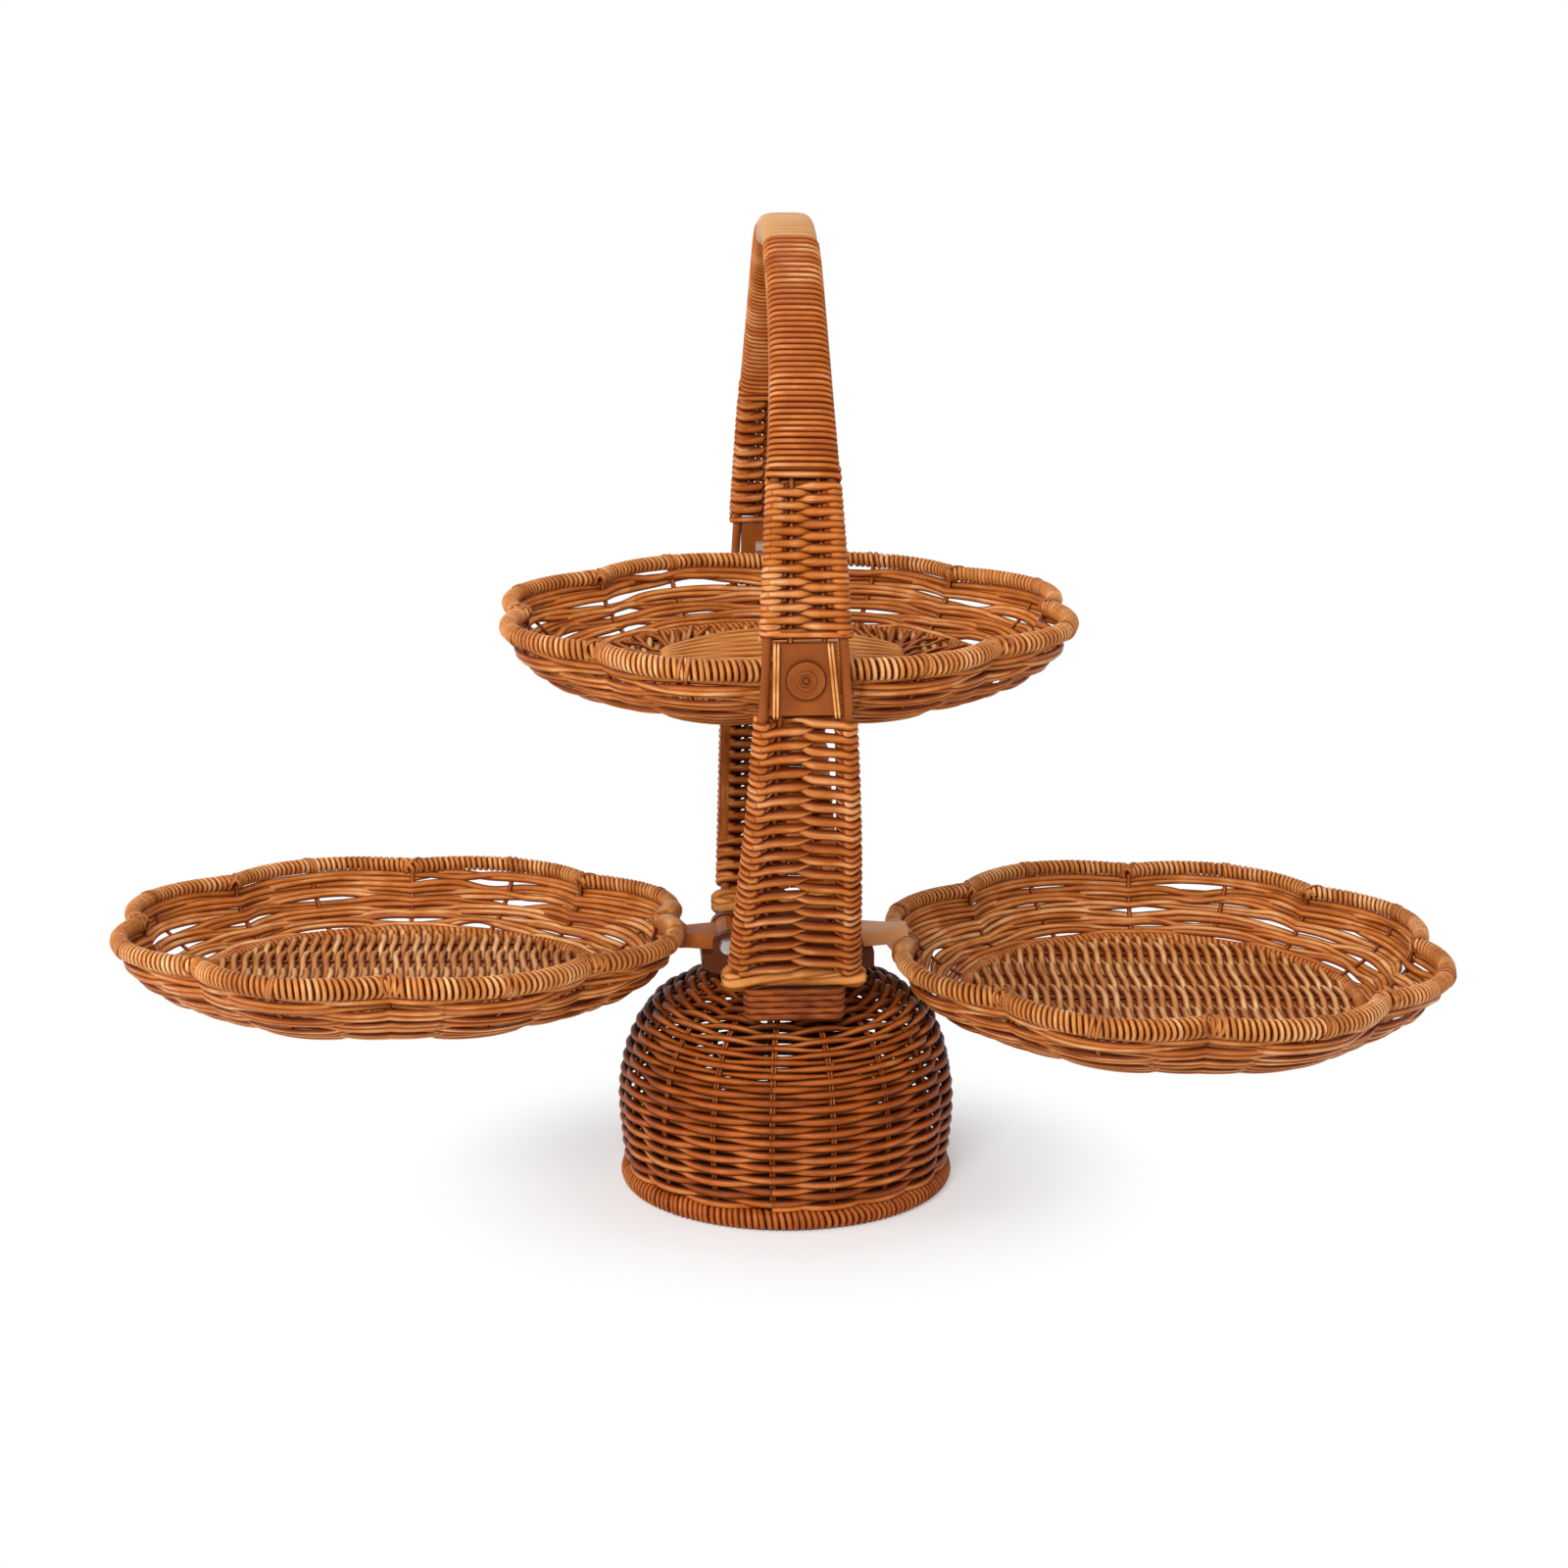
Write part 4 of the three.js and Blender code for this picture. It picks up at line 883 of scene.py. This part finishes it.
def woven_wall(seed):
    chance = np.random.default_rng(seed)
    strands = []
    turn = np.linspace(0, 2 * math.pi, 16 * 14 + 1) - math.pi / 2 + 0.2
    at_stake = np.abs(np.cos(8 * turn))
    wave = blunt(np.cos(8 * turn), 0.6)
    ramp = np.linspace(0, 1, len(turn))

    def wander(size, count):
        knots = chance.normal(0, size, count)
        knots[-1] = knots[0]
        return np.interp(ramp, np.linspace(0, 1, count), knots)

    for course in range(8):
        drift = wander(0.0009, 20)
        for pair in (-1, 1):
            apart = pair * (0.00150 - 0.00012 * at_stake) + drift + wander(0.0004, 40)
            # Here and there the two strands of a pair cross.
            for _ in range(2):
                middle = chance.uniform(0.1, 0.9)
                cross = pair * chance.uniform(0.001, 0.004)
                apart = apart - cross * np.exp(-((ramp - middle) / 0.016) ** 2)
            share = 0.008 + 0.007 * np.sin(turn) + 0.1305 * course + apart / wall_slope
            away = wave * (0.0017 * (-1) ** course) + pair * 0.0003
            path, facing = on_wall(turn, share, away)
            strands.append((path, facing, chance.uniform(0.3, 1.0), 1.14 - 0.08 * at_stake))
    stakes = []
    for k in range(16):
        share = np.linspace(-0.14, 0.98, 16)
        path, facing = on_wall(stake_step * k, share, 0.0)
        stakes.append((path, facing, chance.uniform(0.2, 0.6)))
    return strands, stakes


def plain_floor(seed):
    chance = np.random.default_rng(seed)
    strands, rods = [], []
    radius, level = 0.108, -0.032
    period = 0.040
    for k, x in enumerate(np.arange(-0.1040, 0.1041, 0.0032)):
        half = math.sqrt(radius ** 2 - x ** 2)
        y = np.linspace(-half, half, max(8, int(half / 0.002)))
        wave = blunt(np.cos(math.pi * y / period) * (-1) ** k, 0.55)
        drift = np.interp(y, np.linspace(-0.11, 0.11, 12), chance.normal(0, 0.0003, 12))
        drift = drift + 0.0006 * np.cos(2 * math.pi * y / period) * (-1) ** k
        points = np.stack([x + drift, y, level + wave * 0.0019], -1)
        strands.append((points, up_way, chance.uniform(0.4, 1.1), 1 + 0.12 * wave))

    # The strands go over and under a few rods, and thinner ones lie close together below.
    def rod(y, count, height, *rest):
        half = math.sqrt(radius ** 2 - y ** 2)
        x = np.linspace(-half, half, count)
        rods.append((np.stack([x, np.full(count, y), np.full(count, height)], -1), up_way, *rest))

    for y in np.arange(-0.080, 0.081, period):
        rod(y, 40, level, 0.4)
    for y in np.arange(-0.1035, 0.104, 0.0046):
        rod(y, 24, level - 0.0022, 0.1, 1.8)
    return strands, rods


# The top basket's floor has a sheaf of pale strands across it, gathered near both ends and
# fanned out from there to the ring.
def sheaf_floor(seed):
    chance = np.random.default_rng(seed)
    sheaf, fans = [], []
    level = -0.0284
    count = 38
    x = np.linspace(-0.066, 0.064, 40)
    belly = np.sqrt(np.clip(1 - ((x + 0.001) / 0.069) ** 2, 0, 1))
    for k in range(count):
        share = 2 * (k + 0.5) / count - 1
        sway = np.interp(x, np.linspace(-0.066, 0.064, 7), chance.normal(0, 0.0007, 7))
        y = share * (0.006 + 0.076 * belly) + sway * belly
        points = np.stack([x, y, level + 0.0008 + 0.0007 * np.sin(x * 60 + k * 2.1)], -1)
        sheaf.append((points, up_way, chance.uniform(0.4, 0.95), 0.62 + 0.42 * belly))
    for hand in (-1, 1):
        for k in range(26):
            share = 2 * (k + 0.5) / 26 - 1
            angle = share * 1.25
            start = np.array([hand * (0.066 - 0.012 * abs(share)), share * 0.036])
            end = np.array([hand * math.cos(angle), math.sin(angle)]) * 0.1075
            way = np.linspace(0, 1, 14)
            line = start + (end - start) * way[:, None]
            y = line[:, 1] + 0.004 * chance.normal() * np.sin(math.pi * way)
            z = level - 0.0002 + 0.0008 * np.sin(way * 9 + k * 3.1)
            fans.append((np.stack([line[:, 0], y, z], -1), up_way, chance.uniform(0.2, 0.8)))
    return sheaf, fans


def rim_at(turn):
    return ring_line(turn, valley_radius + lobe_depth * lobe(turn), 0)


# The winding stands off the rim's middle a little more at the front than at the back.
def rim_reach(turn):
    return 0.0040 - 0.0008 * np.sin(turn) - 0.0006 * np.cos(turn) ** 2


# A loop round the rim at one place, leaning along it by the slant.
def loop_round(turn, slant, shift, reach):
    phase = np.linspace(0, 2 * math.pi, 25)
    place = turn + (shift + slant * np.sin(phase + 0.6)) / valley_radius
    middle = rim_at(place)
    out = np.array([math.cos(turn), math.sin(turn), 0.0])
    way = np.cos(phase)[:, None] * up_way + np.sin(phase)[:, None] * out
    return middle + way * reach, way


# The bindings cross over the valleys and lie side by side over the lobes' middles.
def rim_bindings(seed):
    chance = np.random.default_rng(seed)
    loops = []
    for k in range(16):
        turn = stake_step * k
        if k % 2:
            ways = ((0.0016, -0.0013, 0.0008), (0.0016, 0.0013, 0.0009))
        else:
            ways = ((0.0042, 0, 0.0007), (-0.0042, 0, 0.0010), (0.0042, 0.0028, 0.0006))
        for slant, shift, reach in ways:
            place = turn + chance.normal(0, 0.004)
            path, way = loop_round(place, slant, shift, rim_reach(turn) + reach)
            loops.append((path, way, chance.uniform(0.1, 0.5)))
    return loops


baskets = (
    ("left", (-0.2105, 0, 0.1508), math.radians(-3), math.radians(0.6)),
    ("right", (0.2105, 0, 0.1315), math.radians(0.9), math.radians(1.3)),
    ("top", (0, 0, 0.3215), 0.0, 0.0),
)
for order, basket in enumerate(baskets):
    name = basket[0]
    body = name + "_basket"

    def lay(part, strands, size, finish, slot, *nodes_replaced):
        fit(lay_strands(f"{name}_{part}", set_in(strands, basket), *size),
            finish, body, slot, *nodes_replaced)

    turn = np.linspace(0, 2 * math.pi, 961) + math.pi / 2
    rim_line = rim_at(turn)
    # At one place in each rim the turns are pushed together.
    crowded = np.exp(-((np.cos(turn / 2 - (0.4, 1.3, 1.9)[order])) / 0.06) ** 2)
    pitch = 0.0033 - 0.0009 * crowded
    lean = 0.0012 + 0.0006 * np.sin(3 * turn + order)
    steps = 12
    strand, way = wound(
        rim_line, up_way, pitch, rim_reach(turn), lean=lean, steps=steps, seed=51 + order)
    chance = np.random.default_rng(60 + order)
    parts = []
    for part in stretches(len(strand), steps * 4):
        parts.append((strand[part], way[part], chance.uniform(0.4, 0.9)))
    lay("rim_winding", parts, (0.00138, 0.00135, 8), rim_cane, "cane", name + "_rim")
    lay("rim_rod", [(rim_line[::4], up_way, 0.2)], (0.0029, 0.0029, 8), core_cane, "cane")
    lay("rim_bindings", rim_bindings(100 + order), (0.0013, 0.0009, 8), rim_cane, "cane")

    # The rim is covered with a smooth moulded cheek on each side of the arm's clasp.
    if name != "top":
        cheeks = []
        swell = np.sqrt(1 - np.linspace(-0.86, 0.86, 20) ** 4)
        for hand in (-1, 1):
            place = (0 if name == "left" else math.pi) + hand * np.linspace(0.035, 0.20, 20)
            cheeks.append((rim_at(place), up_way, 0.75, swell))
        lay("rim_cheeks", cheeks, (0.0062, 0.0060, 16), tan_cane, "cane")

    strands, stakes = woven_wall(70 + order)
    lay("woven_wall", strands, (0.00182, 0.0012), wall_cane, "woven_cane", name + "_wall")
    lay("wall_stakes", stakes, (0.0013, 0.001), dark_cane, "woven_cane")

    turn = np.linspace(0, 2 * math.pi, 361) + math.pi / 2
    floor_line = ring_line(turn, 0.110, -0.032)
    strand, way = wound(
        floor_line, up_way, 0.0034, 0.0027, lean=0.0010, steps=10, seed=80 + order)
    lay("floor_ring_winding", [(strand, way, 0.7)], (0.0016, 0.00125),
        orange_cane, "cane", name + "_floor_ring")
    lay("floor_ring_rod", [(floor_line[::3], up_way, 0.2)], (0.002, 0.002, 8), core_cane, "cane")

    strands, rods = plain_floor(90 + order)
    lay("floor_weave", strands, (0.00175, 0.0013), rim_cane, "floor_cane", name + "_floor")
    lay("floor_rods", rods, (0.0012, 0.0009), dark_cane, "floor_cane")
    if name == "top":
        sheaf, fans = sheaf_floor(99)
        lay("floor_sheaf", sheaf, (0.0023, 0.0011), tan_cane, "floor_cane")
        lay("floor_fans", fans, (0.0015, 0.0009), orange_cane, "floor_cane")
